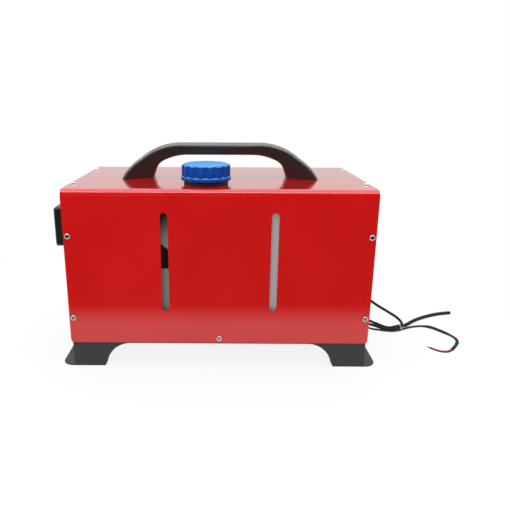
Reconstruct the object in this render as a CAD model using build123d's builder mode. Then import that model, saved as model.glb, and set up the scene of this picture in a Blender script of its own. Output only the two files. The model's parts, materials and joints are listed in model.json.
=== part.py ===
from build123d import *
import math
import os

os.makedirs("parts", exist_ok=True)

# A portable diesel air heater in a sheet metal case: fuel tank in the front half, heater in the rear half.
# X runs along the case, Y from front to back, Z up. The origin is on the floor, midway between the four
# foot bolt holes. All sizes are in millimetres.

# ---- Red cover: one sheet bent over front, top and rear ----
case_length = 400.0
case_depth = 239.0
case_top = 243.0
cover_bottom = 35.5
cover_sheet = 1.2
cover_bend = 10.0
cover_corner = 5.0
slot_x = 70.8
slot_middle_z = 148.0
slot_length = 132.0
slot_width = 9.5

# ---- Fits between neighbouring pieces ----
sheet_gap = 0.2
soft_gap = 0.3
fit_gap = 0.05
screw_gap = 0.1

# ---- End panels: pans that close the cover's two open ends ----
end_inset = 0.5
end_sheet = 1.2
end_flange = 12.0
flange_lift = 1.0

# ---- Base: folded tray on four legs with foot flanges ----
base_sheet = 1.5
tray_underside = 33.8
tray_rim = 50.0
arch_foot_x = 156.0
arch_radius = 33.0
arch_flat_x = 120.0
foot_flange = 17.4
arch_spring_turn = 10.0
arch_haunch_turn = 50.0
foot_corner = 15.0
foot_hole_radius = 3.5
foot_hole_y = 70.0

# ---- Button-head cover screws ----
screw_radius = 2.0
screw_head_radius = 3.8
screw_head_height = 2.2
screw_head_taper = 40.0
screw_length = 4.0
screw_x = 194.5
screw_high_z = 183.0
screw_low_z = 71.0
screw_skirt_z = 42.0
screw_top_y = 71.0
end_screw_y = 60.0
bracket_screw_y = -104.0
bracket_screw_rise = 6.0

# ---- Carry handle ----
handle_rise = 48.5
handle_room = 32.0
handle_flat_top = 56.0
handle_flat_under = 46.0
handle_end_x = 138.0
handle_inner_x = 95.5
handle_shoulder_radius = 88.0
handle_shoulder_turn = 36.0
handle_shoulder_run = 11.0
handle_under_radius = 76.0
handle_under_turn = 27.0
handle_heel_x = 91.5
handle_heel_rise = 12.0
grip_half_width = 12.5
flare_start_x = 94.0
flare_turn = 38.0
flare_in_radius = 22.0
flare_out_radius = 40.0
flare_run = 13.0
handle_edge = 2.4
handle_blank = 60.0
edge_band = 1.0
bolt_radius = 2.5
bolt_head_radius = 4.75
bolt_head_height = 3.2
bolt_grip = 12.0
bolt_x = 119.0
bolt_y = 14.0

# ---- Fuel tank ----
tank_left = -150.0
tank_right = 150.0
tank_front = -112.5
tank_back = -21.0
tank_headroom = 18.0
tank_shoulder_drop = 33.0
tank_shoulder_low_x = -102.0
tank_shoulder_high_x = -48.0
tank_wall = 3.0
tank_edge = 8.0
tank_front_edge = 3.5
pocket_depth = 12.0
pocket_drop = 86.0
pocket_height = 18.0
pocket_left = -125.0
pocket_right = 66.0
pocket_bend_x = -54.0
pocket_rise = 44.0

# ---- Filler neck, collar and cap ----
filler_x = -18.5
filler_y = -64.0
neck_radius = 26.0
neck_bore = 22.0
neck_rise = 19.0
collar_radius = 29.5
collar_rise = 5.4
collar_groove = 27.2
collar_skirt = 2.0
cap_base_radius = 33.25
cap_base_height = 4.0
cap_radius = 32.5
cap_crown = 6.4
cap_shoulder_drop = 2.7
cap_crown_radius = 27.0
cap_bore = 27.6
cap_ribs = 16
cap_groove_radius = 5.0
cap_groove_depth = 1.4
cap_foot = 1.0
seal_inner = 22.6
seal_outer = 26.8
seal_height = 2.1

# ---- Tank straps ----
strap_width = 14.0
strap_sheet = 1.0
strap_bend = 6.0
strap_left_x = -125.0
strap_right_x = 115.0
strap_foot = 10.0

# ---- Heater: axis along X, in the rear half ----
heater_y = 56.0
heater_width = 112.0
heater_height = 118.0
heater_corner = 24.0
heater_wall = 2.5
heater_left = -166.0
heater_right = 118.0
grille_depth = 8.0
grille_slots = 7
grille_slot_height = 8.0
grille_slot_pitch = 13.0
grille_slot_length = 76.0
nozzle_mouth_x = -187.0
nozzle_radius = 29.0
nozzle_wall = 2.5
nozzle_plate = 3.0
nozzle_rim = 4.0

exchanger_left = -150.0
exchanger_right = 4.0
exchanger_radius = 40.0
exchanger_bore = 32.0
exchanger_fins = 18
fin_clearance = 4.5
fin_thickness = 2.4
foot_block_x = 44.0
foot_block_y = 32.0
foot_block_corner = 8.0
exchanger_end_wall = 6.0
gasket_thickness = 3.0

burner_radius = 23.0
burner_wall = 1.5
burner_left = -100.0
glow_plug_x = -16.0
glow_plug_radius = 4.0
glow_plug_head = 6.0

housing_radius = 38.0
housing_right = 24.0
housing_wall = 4.0
impeller_radius = 30.0
impeller_vanes = 12
impeller_vane = 14.0
impeller_vane_height = 7.0
impeller_plate = 1.6
impeller_sweep = 25.0
impeller_left = 14.0
shaft_radius = 2.5
motor_right = 80.0
motor_radius = 26.0
motor_saddle = 15.0
fan_left = 85.0
fan_width = 20.0
fan_clearance = 5.5
fan_hub_radius = 14.0
fan_blades = 9
fan_pitch = 35.0
fan_blade_sheet = 2.0
board_thickness = 14.0
board_length = 54.0
board_width = 50.0
board_corner = 3.0

exhaust_x = -24.0
exhaust_radius = 12.0
intake_x = 24.0
intake_radius = 12.5
stub_wall = 1.5
stub_bottom = 8.0
stub_seat = 8.0
stub_clamp_length = 25.0
stub_step = 0.5
stud_x = 37.0
stud_y = 25.0
stud_radius = 3.0
nut_radius = 5.5
nut_height = 5.0

fuel_inlet_x = 14.0
fuel_inlet_drop = 19.3
fuel_inlet_y = -3.0

# ---- Hot air outlet on the left end ----
outlet_radius = 30.0
outlet_wall = 3.0
outlet_reach = 16.0
outlet_flange_radius = 38.0
outlet_flange = 2.0
collar_tail = 4.8
louvre_depth = 12.0
louvre_lip = 2.0
louvre_vanes = 4
louvre_pitch = 11.5
louvre_tilt = 35.0
louvre_sheet = 1.6
louvre_ring = 2.4
louvre_lip_inset = 1.0

# ---- Display controller on the left end ----
controller_front_y = -95.0
controller_back_y = 23.0
controller_drop = 80.0
controller_height = 52.0
controller_corner = 4.0
controller_back_depth = 8.0
controller_face = 17.7
controller_wall = 2.0
controller_screw_spread = 84.0
controller_screw_radius = 1.5
controller_edge = 1.5
post_radius = 3.0
bracket_drop = 2.0
window_width = 56.0
window_height = 30.0
button_radius = 4.6
button_flange = 5.5
button_proud = 0.8
button_travel = 0.8
button_gap = 0.25
button_row = 13.5
board_sheet = 1.6
board_reach = 8.2
board_span = 112.0
board_rise = 46.0
window_lap = 1.5
window_back = 14.3
window_recess = 0.4
button_back = 13.9
button_column = 43.0
cable_hole_radius = 3.0

# ---- Fuel system at the right end ----
pump_x = 172.0
pump_y = -13.0
pump_radius = 15.0
pump_bottom = 66.0
pump_body_bottom = 74.0
pump_body_top = 134.0
pump_neck_top = 146.0
pump_top = 156.0
pump_bore = 4.05
plunger_length = 26.0
plunger_stroke = 2.0
plunger_seat_z = 88.0
nipple_radius = 3.0
hose_radius = 4.0
hose_bend = 9.0
line_radius = 2.3
line_bend = 9.5
line_level = 178.0
suction_z = 52.0
fitting_y = -96.0
filter_radius = 11.0
filter_start_y = -78.0
filter_nipple = 6.0
filter_body = 26.0
filter_bevel = 2.0
fitting_hex = 8.0
fitting_flange = 3.0
fitting_end_x = 160.0
pump_bevel = 2.0
pump_clamp_z = 96.0
clamp_wall = 2.5
clamp_height = 16.0
clamp_half_width = 9.0
clamp_foot = 22.0

# ---- Cable exits on the right end and the wiring inside ----
intake_slots = 9
intake_slot_length = 30.0
intake_slot_height = 5.0
intake_slot_pitch = 11.0
intake_slot_bar = 6.0
intake_slots_y = 74.0
intake_slots_z = 104.0
grommet_hole = 6.0
grommet_flange_radius = 8.5
grommet_flange = 1.5
grommet_nose = 4.0
grommet_wall = 1.6
aux_exit_y = 25.0
aux_exit_z = 60.0
power_exit_y = -6.0
power_exit_z = 60.0
loom_radius = 4.0
loom_bend = 11.0
screen_cable_radius = 2.2
loom_exit_x = 92.0
loom_exit_y = 30.0
loom_clearance = 15.7
loom_drop_x = 184.0
screen_cable_x = 40.0
screen_cable_rise = 10.0
screen_cable_turn_x = -180.0
screen_cable_bend = 8.0

# ---- Free cords, lying on the floor at the right ----
aux_diameter = 4.0
power_diameter = 3.2
core_diameter = 1.9
tip_diameter = 1.1
floor_lift = 0.05
tie_width = 1.4
tie_sheet = 0.6
tie_x = 288.0
tie_middle_y = 8.6
tie_span = 18.2
tie_inner_height = 4.4
tie_corner = 1.5
tip_length = 5.0
sleeve_diameter = 5.4
sleeve_bore = 4.8
sleeve_corner = 31
sleeve_tip = 1.5
sleeve_tip_bevel = 1.0

# ---- Flat sides that stand for round forms, which keep small, hidden and soft pieces light ----
tube_sides = 6
hole_sides = 8
nose_sides = 12
disc_sides = 24
ring_sides = 32

# ---- Sizes that follow from the ones above ----
cover_in_y = case_depth / 2 - cover_sheet
cover_in_top = case_top - cover_sheet
pan_y = cover_in_y - sheet_gap
pan_top = cover_in_top - sheet_gap
pan_bend = cover_bend - cover_sheet - sheet_gap
end_out_x = case_length / 2 - end_inset
end_in_x = end_out_x - end_sheet
base_x = end_in_x - sheet_gap
base_in_x = base_x - base_sheet
base_in_y = pan_y - base_sheet
tray_floor = tray_underside + base_sheet
foot_reach_x = base_x + foot_flange
foot_hole_x = base_x + foot_flange / 2
filler_hole = collar_groove + sheet_gap
flange_bottom = tray_rim + flange_lift
controller_bottom = case_top - controller_drop
controller_middle_y = (controller_front_y + controller_back_y) / 2
controller_middle_z = controller_bottom + controller_height / 2
controller_screw_places = [(controller_middle_y + side * controller_screw_spread / 2, controller_middle_z)
                           for side in (-1, 1)]
collar_top = case_top + collar_rise
bracket_screw_z = controller_bottom + controller_height + bracket_screw_rise
handle_top = case_top + handle_rise
handle_underside = case_top + handle_room
handle_heel = (handle_heel_x, case_top + handle_heel_rise)
tank_top = case_top - tank_headroom
tank_shoulder_z = tank_top - tank_shoulder_drop
pocket_bottom = tank_top - pocket_drop
pocket_top = pocket_bottom + pocket_height
pocket_peak_z = pocket_bottom + pocket_rise
neck_top = case_top + neck_rise
cap_base_z = collar_top + soft_gap
cap_roof_z = neck_top + soft_gap + seal_height + sheet_gap
cap_top = cap_roof_z + cap_crown
cap_shoulder_z = cap_top - cap_shoulder_drop
heater_z = tray_floor + gasket_thickness + heater_height / 2
fin_radius = min(heater_width, heater_height) / 2 - heater_wall - fin_clearance
nozzle_root_radius = min(heater_width, heater_height) / 2 - nozzle_rim
fan_radius = heater_width / 2 - heater_wall - fan_clearance
fuel_inlet_z = heater_z - fuel_inlet_drop
outlet_bore = outlet_radius - outlet_wall
loom_level = heater_z + heater_height / 2 + loom_clearance
screen_cable_level = loom_level + screen_cable_rise
collar_inner_x = -end_in_x + collar_tail
collar_outer_x = -end_out_x - outlet_reach
housing_bottom = heater_z - housing_radius
controller_width = controller_back_y - controller_front_y
button_places = {
    "power": (-button_column, button_row / 2), "menu": (-button_column, -button_row / 2),
    "up": (button_column, button_row), "confirm": (button_column, 0), "down": (button_column, -button_row)}
stud_places = [(side * stud_x, heater_y + end * stud_y) for side in (-1, 1) for end in (-1, 1)]


def portal(half_width, bottom, top, bend, middle=0.0):
    """A rectangle on its lower edge, with its two upper corners rounded."""
    left, right = middle - half_width, middle + half_width
    with BuildSketch() as outline:
        with BuildLine():
            FilletPolyline((left, bottom), (left, top), (right, top), (right, bottom), radius=bend)
            Line((right, bottom), (left, bottom))
        make_face()
    return outline.sketch


def turn_radii(points):
    """The largest tangent arc that the runs beside each corner leave room for."""
    stops = [Vector(*point) for point in points]
    radii = []
    for before, corner, after in zip(stops, stops[1:], stops[2:]):
        arriving, leaving = corner - before, after - corner
        half_turn = math.radians(arriving.get_angle(leaving)) / 2
        radii.append(0.45 * min(arriving.length, leaving.length) / math.tan(half_turn))
    return radii


def tube(points, radius, bends):
    """A bar of many flat sides along straight runs joined by tangent arcs."""
    with BuildPart() as bar:
        with BuildLine() as route:
            FilletPolyline(*points, radius=bends)
        with BuildSketch(Plane(origin=route.line @ 0, z_dir=route.line % 0)):
            RegularPolygon(radius, tube_sides)
        sweep(path=route.wire())
    return bar.part


def cord(name, points, diameter):
    """A free cord, with its tightest bend and its volume printed against section times length."""
    radii = turn_radii(points)
    with BuildLine() as route:
        FilletPolyline(*points, radius=radii)
    length = route.wire().length
    part = tube(points, diameter / 2, radii)
    section = tube_sides / 2 * (diameter / 2) ** 2 * math.sin(2 * math.pi / tube_sides)
    expected = section * length
    print(name, "length", round(length, 1), "radii", [round(r, 1) for r in radii],
          "volume", round(part.volume, 1), "expected", round(expected, 1))
    write(name, part)


def write(name, part):
    part.label = name
    export_step(part, f"parts/{name}.step")


def on_axis(x):
    """A plane square to the heater's axis, centred on it."""
    return Plane(origin=(x, heater_y, heater_z), x_dir=(0, 1, 0), z_dir=(1, 0, 0))


# ---- Red cover ----
face_screws = [(side * screw_x, z) for side in (-1, 1) for z in (screw_high_z, screw_low_z)]
skirt_screws = [(0, screw_skirt_z)]
top_screws = [(side * screw_x, end * screw_top_y) for side in (-1, 1) for end in (-1, 1)]
handle_bolt_places = [(side * bolt_x, end * bolt_y) for side in (-1, 1) for end in (-1, 1)]

with BuildPart() as cover_shell:
    with BuildSketch(Plane.YZ):
        add(portal(case_depth / 2, cover_bottom, case_top, cover_bend))
        add(portal(cover_in_y, cover_bottom, cover_in_top, cover_bend - cover_sheet), mode=Mode.SUBTRACT)
    extrude(amount=case_length / 2, both=True)
    fillet(cover_shell.edges().filter_by(Axis.Y).group_by(Axis.Z)[0], radius=cover_corner)
    with BuildSketch(Plane.XZ.offset(case_depth / 2)):
        with Locations((-slot_x, slot_middle_z), (slot_x, slot_middle_z)):
            SlotOverall(slot_length, slot_width, rotation=90)
    extrude(amount=-2 * cover_sheet, mode=Mode.SUBTRACT)
    with BuildSketch(Plane.XZ.offset(case_depth / 2)):
        with Locations(*face_screws, *skirt_screws):
            RegularPolygon(screw_radius + screw_gap, hole_sides)
    extrude(amount=-case_depth, mode=Mode.SUBTRACT)
    with BuildSketch(Plane.XY.offset(case_top)):
        with Locations(*top_screws):
            RegularPolygon(screw_radius + screw_gap, hole_sides)
        with Locations(*handle_bolt_places):
            RegularPolygon(bolt_radius + screw_gap, hole_sides)
        with Locations((filler_x, filler_y)):
            Circle(filler_hole)
    extrude(amount=-2 * cover_sheet, mode=Mode.SUBTRACT)
write("cover_shell", cover_shell.part)


# ---- End panels ----
def end_panel(side, holes):
    """A pan with its flange turned into the case; side is -1 for the left end and 1 for the right."""
    with BuildPart() as panel:
        with BuildSketch(Plane.YZ.offset(side * end_in_x)):
            add(portal(pan_y, cover_bottom, pan_top, pan_bend))
            add(holes, mode=Mode.SUBTRACT)
            with Locations((-end_screw_y, screw_skirt_z), (end_screw_y, screw_skirt_z)):
                RegularPolygon(screw_radius + screw_gap, hole_sides, mode=Mode.SUBTRACT)
        extrude(amount=side * end_sheet)
        with BuildSketch(Plane.YZ.offset(side * end_in_x)):
            add(portal(pan_y, flange_bottom, pan_top, pan_bend))
            add(portal(pan_y - end_sheet, flange_bottom, pan_top - end_sheet, pan_bend - end_sheet),
                mode=Mode.SUBTRACT)
        extrude(amount=-side * (end_flange - end_sheet))
        with BuildSketch(Plane.XZ.offset(case_depth / 2)):
            with Locations((side * screw_x, screw_high_z), (side * screw_x, screw_low_z)):
                RegularPolygon(screw_radius + screw_gap, hole_sides)
        extrude(amount=-case_depth, mode=Mode.SUBTRACT)
        with BuildSketch(Plane.XY.offset(case_top)):
            with Locations((side * screw_x, -screw_top_y), (side * screw_x, screw_top_y)):
                RegularPolygon(screw_radius + screw_gap, hole_sides)
        extrude(amount=-end_flange / 2, mode=Mode.SUBTRACT)
    return panel.part


with BuildSketch() as outlet_end_holes:
    with Locations((heater_y, heater_z)):
        Circle(outlet_radius + sheet_gap)
    with Locations((controller_middle_y, controller_middle_z)):
        RegularPolygon(cable_hole_radius, hole_sides)
    with Locations((bracket_screw_y, bracket_screw_z), *controller_screw_places):
        RegularPolygon(screw_radius + screw_gap, hole_sides)
write("left_end_panel", end_panel(-1, outlet_end_holes.sketch))

with BuildSketch() as intake_end_holes:
    with Locations((intake_slots_y, intake_slots_z)):
        with GridLocations(intake_slot_length + intake_slot_bar, intake_slot_pitch, 2, intake_slots):
            Rectangle(intake_slot_length, intake_slot_height)
    with Locations((aux_exit_y, aux_exit_z), (power_exit_y, power_exit_z)):
        RegularPolygon(grommet_hole, nose_sides)
write("right_end_panel", end_panel(1, intake_end_holes.sketch))

# ---- Base: tray, legs and foot flanges ----
spring_point = (arch_flat_x + arch_radius * math.cos(math.radians(arch_spring_turn)),
                tray_underside - arch_radius + arch_radius * math.sin(math.radians(arch_spring_turn)))
haunch_point = (arch_flat_x + arch_radius * math.cos(math.radians(arch_haunch_turn)),
                tray_underside - arch_radius + arch_radius * math.sin(math.radians(arch_haunch_turn)))

with BuildPart() as base_frame:
    with BuildSketch():
        Rectangle(2 * base_x, 2 * pan_y)
        Rectangle(2 * base_in_x, 2 * base_in_y, mode=Mode.SUBTRACT)
    extrude(amount=tray_rim)
    with BuildSketch(Plane.XZ):
        with BuildLine():
            Line((0, 0), (arch_foot_x, 0))
            Line((arch_foot_x, 0), spring_point)
            ThreePointArc(spring_point, haunch_point, (arch_flat_x, tray_underside))
            Line((arch_flat_x, tray_underside), (0, tray_underside))
            mirror(about=Plane.YZ)
        make_face()
    extrude(amount=case_depth, both=True, mode=Mode.SUBTRACT)
    with BuildSketch(Plane.XY.offset(tray_underside)):
        Rectangle(2 * base_x, 2 * pan_y)
        with Locations((exhaust_x, heater_y)):
            RegularPolygon(exhaust_radius + soft_gap, disc_sides, mode=Mode.SUBTRACT)
        with Locations((intake_x, heater_y)):
            RegularPolygon(intake_radius + soft_gap, disc_sides, mode=Mode.SUBTRACT)
        with Locations(*stud_places):
            RegularPolygon(stud_radius + soft_gap, hole_sides, mode=Mode.SUBTRACT)
    extrude(amount=base_sheet)
    for side in (-1, 1):
        with BuildSketch() as foot:
            with Locations((side * (base_in_x + foot_reach_x) / 2, 0)):
                Rectangle(foot_reach_x - base_in_x, 2 * pan_y)
            fillet(foot.vertices().sort_by(Axis.X)[:2] if side < 0 else foot.vertices().sort_by(Axis.X)[-2:],
                   radius=foot_corner)
            with Locations((side * foot_hole_x, -foot_hole_y), (side * foot_hole_x, foot_hole_y)):
                Circle(foot_hole_radius, mode=Mode.SUBTRACT)
        extrude(amount=base_sheet)
    with BuildSketch(Plane.XZ.offset(case_depth / 2)):
        with Locations(*skirt_screws):
            RegularPolygon(screw_radius + screw_gap, hole_sides)
    extrude(amount=-case_depth, mode=Mode.SUBTRACT)
    with BuildSketch(Plane.YZ.offset(-case_length / 2)):
        with Locations((-end_screw_y, screw_skirt_z), (end_screw_y, screw_skirt_z)):
            RegularPolygon(screw_radius + screw_gap, hole_sides)
    extrude(amount=case_length, mode=Mode.SUBTRACT)
write("base_frame", base_frame.part)

# ---- Button-head screws ----
front_planes = [Plane(origin=(x, -case_depth / 2, z), z_dir=(0, -1, 0)) for x, z in face_screws + skirt_screws]
rear_planes = [Plane(origin=(x, case_depth / 2, z), z_dir=(0, 1, 0)) for x, z in face_screws + skirt_screws]
top_planes = [Plane(origin=(x, y, case_top), z_dir=(0, 0, 1)) for x, y in top_screws]
end_planes = [Plane(origin=(side * end_out_x, y, screw_skirt_z), z_dir=(side, 0, 0))
              for side in (-1, 1) for y in (-end_screw_y, end_screw_y)]
bracket_plane = Plane(origin=(-end_out_x, bracket_screw_y, bracket_screw_z), z_dir=(-1, 0, 0))


def button_screws(planes):
    """Button-head screws, each with the underside of its head on its own plane."""
    with BuildPart() as screws:
        for plane in planes:
            with BuildSketch(plane):
                RegularPolygon(screw_head_radius, nose_sides)
            extrude(amount=screw_head_height, taper=screw_head_taper)
            with BuildSketch(plane):
                RegularPolygon(screw_radius - screw_gap, hole_sides)
            extrude(amount=-screw_length)
    return screws.part


write("cover_screws", button_screws(front_planes + rear_planes + top_planes))
write("end_panel_screws", button_screws(end_planes + [bracket_plane]))

# ---- Carry handle ----
with BuildPart() as carry_handle:
    with BuildSketch(Plane.XZ):
        with BuildLine():
            crown = Line((0, handle_top), (handle_flat_top, handle_top))
            shoulder = JernArc(crown @ 1, (1, 0), handle_shoulder_radius, -handle_shoulder_turn)
            slope = Line(shoulder @ 1, shoulder @ 1 + (shoulder % 1) * handle_shoulder_run)
            TangentArc(slope @ 1, (handle_end_x, case_top), tangent=slope % 1)
            Line((handle_end_x, case_top), (handle_inner_x, case_top))
            Line((handle_inner_x, case_top), handle_heel)
            belly = Line((handle_flat_under, handle_underside), (0, handle_underside))
            palm = JernArc(belly @ 0, (1, 0), handle_under_radius, -handle_under_turn)
            TangentArc(palm @ 1, handle_heel, tangent=palm % 1)
            mirror(about=Plane.YZ)
        make_face()
    extrude(amount=handle_blank, both=True)
    with BuildSketch(Plane.XY.offset(case_top)):
        with BuildLine():
            grip = Line((0, grip_half_width), (flare_start_x, grip_half_width))
            flare = JernArc(grip @ 1, (1, 0), flare_in_radius, flare_turn)
            flank = Line(flare @ 1, flare @ 1 + (flare % 1) * flare_run)
            heel = JernArc(flank @ 1, flank % 1, flare_out_radius, -flare_turn)
            Line(heel @ 1, ((heel @ 1).X, 0))
            mirror(about=Plane.YZ)
            mirror(about=Plane.XZ)
        make_face()
    extrude(amount=handle_top - case_top, mode=Mode.INTERSECT)
    crown_edges = carry_handle.edges().filter_by_position(Axis.Z, handle_top - edge_band, handle_top + edge_band)
    chamfer(crown_edges, length=handle_edge)
    with BuildSketch(Plane.XY.offset(case_top)):
        with Locations(*handle_bolt_places):
            RegularPolygon(bolt_radius + screw_gap, hole_sides)
    extrude(amount=bolt_grip + screw_gap, mode=Mode.SUBTRACT)
write("carry_handle", carry_handle.part)

with BuildPart() as handle_bolts:
    with BuildSketch(Plane.XY.offset(cover_in_top)):
        with Locations(*handle_bolt_places):
            RegularPolygon(bolt_head_radius, 6)
    extrude(amount=-bolt_head_height)
    with BuildSketch(Plane.XY.offset(cover_in_top)):
        with Locations(*handle_bolt_places):
            RegularPolygon(bolt_radius - screw_gap, hole_sides)
    extrude(amount=cover_sheet + bolt_grip)
write("handle_bolts", handle_bolts.part)

# ---- Fuel tank: moulded shell with a sloped shoulder, a hand pocket and a filler neck ----
tank_middle_y = (tank_front + tank_back) / 2
tank_depth = tank_back - tank_front

with BuildSketch() as tank_face:
    with BuildLine():
        Polyline((tank_left, tray_floor), (tank_right, tray_floor), (tank_right, tank_top),
                 (tank_shoulder_high_x, tank_top), (tank_shoulder_low_x, tank_shoulder_z),
                 (tank_left, tank_shoulder_z), close=True)
    make_face()
    fillet(tank_face.vertices(), radius=tank_edge)

with BuildSketch() as tank_cavity_face:
    add(tank_face.sketch)
    offset(amount=-tank_wall, mode=Mode.REPLACE)

with BuildSketch() as pocket_face:
    with BuildLine():
        Polyline((pocket_left, pocket_bottom), (pocket_right, pocket_bottom), (pocket_right, pocket_top),
                 (pocket_bend_x, pocket_top), (pocket_left, pocket_peak_z), close=True)
    make_face()
    fillet(pocket_face.vertices().sort_by(Axis.X)[-2:], radius=(pocket_top - pocket_bottom) / 2 - sheet_gap)

with BuildSketch() as pocket_wall_face:
    add(pocket_face.sketch)
    offset(amount=tank_wall, mode=Mode.REPLACE)

with BuildPart() as fuel_tank:
    with BuildSketch(Plane.XZ.offset(-tank_front)):
        add(tank_face.sketch)
    extrude(amount=-tank_depth)
    chamfer(fuel_tank.faces().filter_by(Axis.Y).edges(), length=tank_front_edge)
    with BuildSketch(Plane.XY.offset(tank_top - tank_wall)):
        with Locations((filler_x, filler_y)):
            Circle(neck_radius)
    extrude(amount=neck_top - tank_top + tank_wall)
    with BuildSketch(Plane.XZ.offset(-tank_front - tank_wall)):
        add(tank_cavity_face.sketch)
    extrude(amount=-tank_depth + 2 * tank_wall, mode=Mode.SUBTRACT)
    with BuildSketch(Plane.XZ.offset(-tank_front - tank_wall)):
        add(pocket_wall_face.sketch)
    extrude(amount=-pocket_depth)
    with BuildSketch(Plane.XZ.offset(-tank_front)):
        add(pocket_face.sketch)
    extrude(amount=-pocket_depth, mode=Mode.SUBTRACT)
    with BuildSketch(Plane.XY.offset(tank_top - 2 * tank_wall)):
        with Locations((filler_x, filler_y)):
            Circle(neck_bore)
    extrude(amount=neck_top - tank_top + 2 * tank_wall, mode=Mode.SUBTRACT)
    with BuildSketch(Plane.YZ.offset(tank_right)):
        with Locations((fitting_y, suction_z)):
            RegularPolygon(nipple_radius + screw_gap, hole_sides)
    extrude(amount=-2 * tank_wall, mode=Mode.SUBTRACT)
write("fuel_tank", fuel_tank.part)

# ---- Rubber collar that seals the neck in the cover ----
with BuildPart() as filler_grommet:
    for bottom, top, radius in ((cover_in_top - collar_skirt, cover_in_top, collar_radius),
                                (cover_in_top, case_top, collar_groove), (case_top, collar_top, collar_radius)):
        with BuildSketch(Plane.XY.offset(bottom)):
            with Locations((filler_x, filler_y)):
                RegularPolygon(radius, ring_sides)
                RegularPolygon(neck_radius + soft_gap, ring_sides, mode=Mode.SUBTRACT)
        extrude(amount=top - bottom)
write("filler_grommet", filler_grommet.part)

# ---- Ribbed filler cap and its seal ----
with BuildPart() as filler_cap:
    with BuildSketch(Plane.XZ.offset(-filler_y)):
        with BuildLine():
            Polyline((filler_x, cap_roof_z), (filler_x + cap_bore, cap_roof_z), (filler_x + cap_bore, cap_base_z),
                     (filler_x + cap_base_radius, cap_base_z),
                     (filler_x + cap_base_radius, cap_base_z + cap_base_height),
                     (filler_x + cap_radius, cap_base_z + cap_base_height), (filler_x + cap_radius, cap_shoulder_z),
                     (filler_x + cap_crown_radius, cap_top), (filler_x, cap_top), close=True)
        make_face()
    revolve(axis=Axis((filler_x, filler_y, 0), (0, 0, 1)))
    with BuildSketch(Plane.XY.offset(cap_base_z + cap_base_height + cap_foot)):
        with Locations((filler_x, filler_y)):
            with PolarLocations(cap_radius + cap_groove_radius - cap_groove_depth, cap_ribs):
                Circle(cap_groove_radius)
    extrude(amount=cap_top - cap_base_z, mode=Mode.SUBTRACT)
write("filler_cap", filler_cap.part)

with BuildPart() as cap_seal:
    with BuildSketch(Plane.XY.offset(neck_top + soft_gap)):
        with Locations((filler_x, filler_y)):
            RegularPolygon(seal_outer, ring_sides)
            RegularPolygon(seal_inner, ring_sides, mode=Mode.SUBTRACT)
    extrude(amount=seal_height)
write("cap_seal", cap_seal.part)

# ---- Steel straps that hold the tank down ----
with BuildPart() as tank_straps:
    for strap_x, top in ((strap_left_x, tank_shoulder_z), (strap_right_x, tank_top)):
        over = top + soft_gap
        reach = tank_depth / 2 + soft_gap
        with BuildSketch(Plane.YZ.offset(strap_x - strap_width / 2)):
            add(portal(reach + strap_sheet, tray_floor, over + strap_sheet, strap_bend, tank_middle_y))
            add(portal(reach, tray_floor, over, strap_bend - strap_sheet, tank_middle_y), mode=Mode.SUBTRACT)
            with Locations((tank_back + soft_gap + strap_sheet, tray_floor)):
                Rectangle(strap_foot, strap_sheet, align=Align.MIN)
        extrude(amount=strap_width)
write("tank_straps", tank_straps.part)

# ---- Heater casing ----
case_run = heater_right - heater_left


def heater_half(side):
    """One half of the heater's casing: side is -1 for the lower half and 1 for the upper."""
    with BuildPart() as half:
        with BuildSketch(on_axis(heater_left)):
            RectangleRounded(heater_width, heater_height, heater_corner)
            RectangleRounded(heater_width - 2 * heater_wall, heater_height - 2 * heater_wall,
                             heater_corner - heater_wall, mode=Mode.SUBTRACT)
            with Locations((0, -side * heater_height / 2)):
                Rectangle(2 * heater_width, heater_height, mode=Mode.SUBTRACT)
        extrude(amount=case_run)
        if side < 0:
            with BuildSketch(Plane.XY.offset(heater_z - heater_height / 2)):
                with Locations((0, heater_y)):
                    Rectangle(2 * (foot_block_x + soft_gap), 2 * (foot_block_y + soft_gap))
            extrude(amount=2 * heater_wall, mode=Mode.SUBTRACT)
            with BuildSketch(Plane.XZ.offset(-heater_y + heater_width / 2)):
                with Locations((fuel_inlet_x, fuel_inlet_z)):
                    RegularPolygon(line_radius + soft_gap + sheet_gap, hole_sides)
            extrude(amount=-2 * heater_wall, mode=Mode.SUBTRACT)
        else:
            with BuildSketch(Plane.XY.offset(heater_z + heater_height / 2)):
                with Locations((loom_exit_x, loom_exit_y)):
                    RegularPolygon(loom_radius + soft_gap + sheet_gap, hole_sides)
                with Locations((screen_cable_x, loom_exit_y)):
                    RegularPolygon(screen_cable_radius + soft_gap + sheet_gap, hole_sides)
            extrude(amount=-2 * heater_wall, mode=Mode.SUBTRACT)
    return half.part


write("heater_lower_case", heater_half(-1))
write("heater_upper_case", heater_half(1))

with BuildPart() as heater_inlet_grille:
    with BuildSketch(on_axis(heater_right)):
        RectangleRounded(heater_width, heater_height, heater_corner)
        with GridLocations(0, grille_slot_pitch, 1, grille_slots):
            Rectangle(grille_slot_length, grille_slot_height, mode=Mode.SUBTRACT)
    extrude(amount=grille_depth)
write("heater_inlet_grille", heater_inlet_grille.part)

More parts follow.
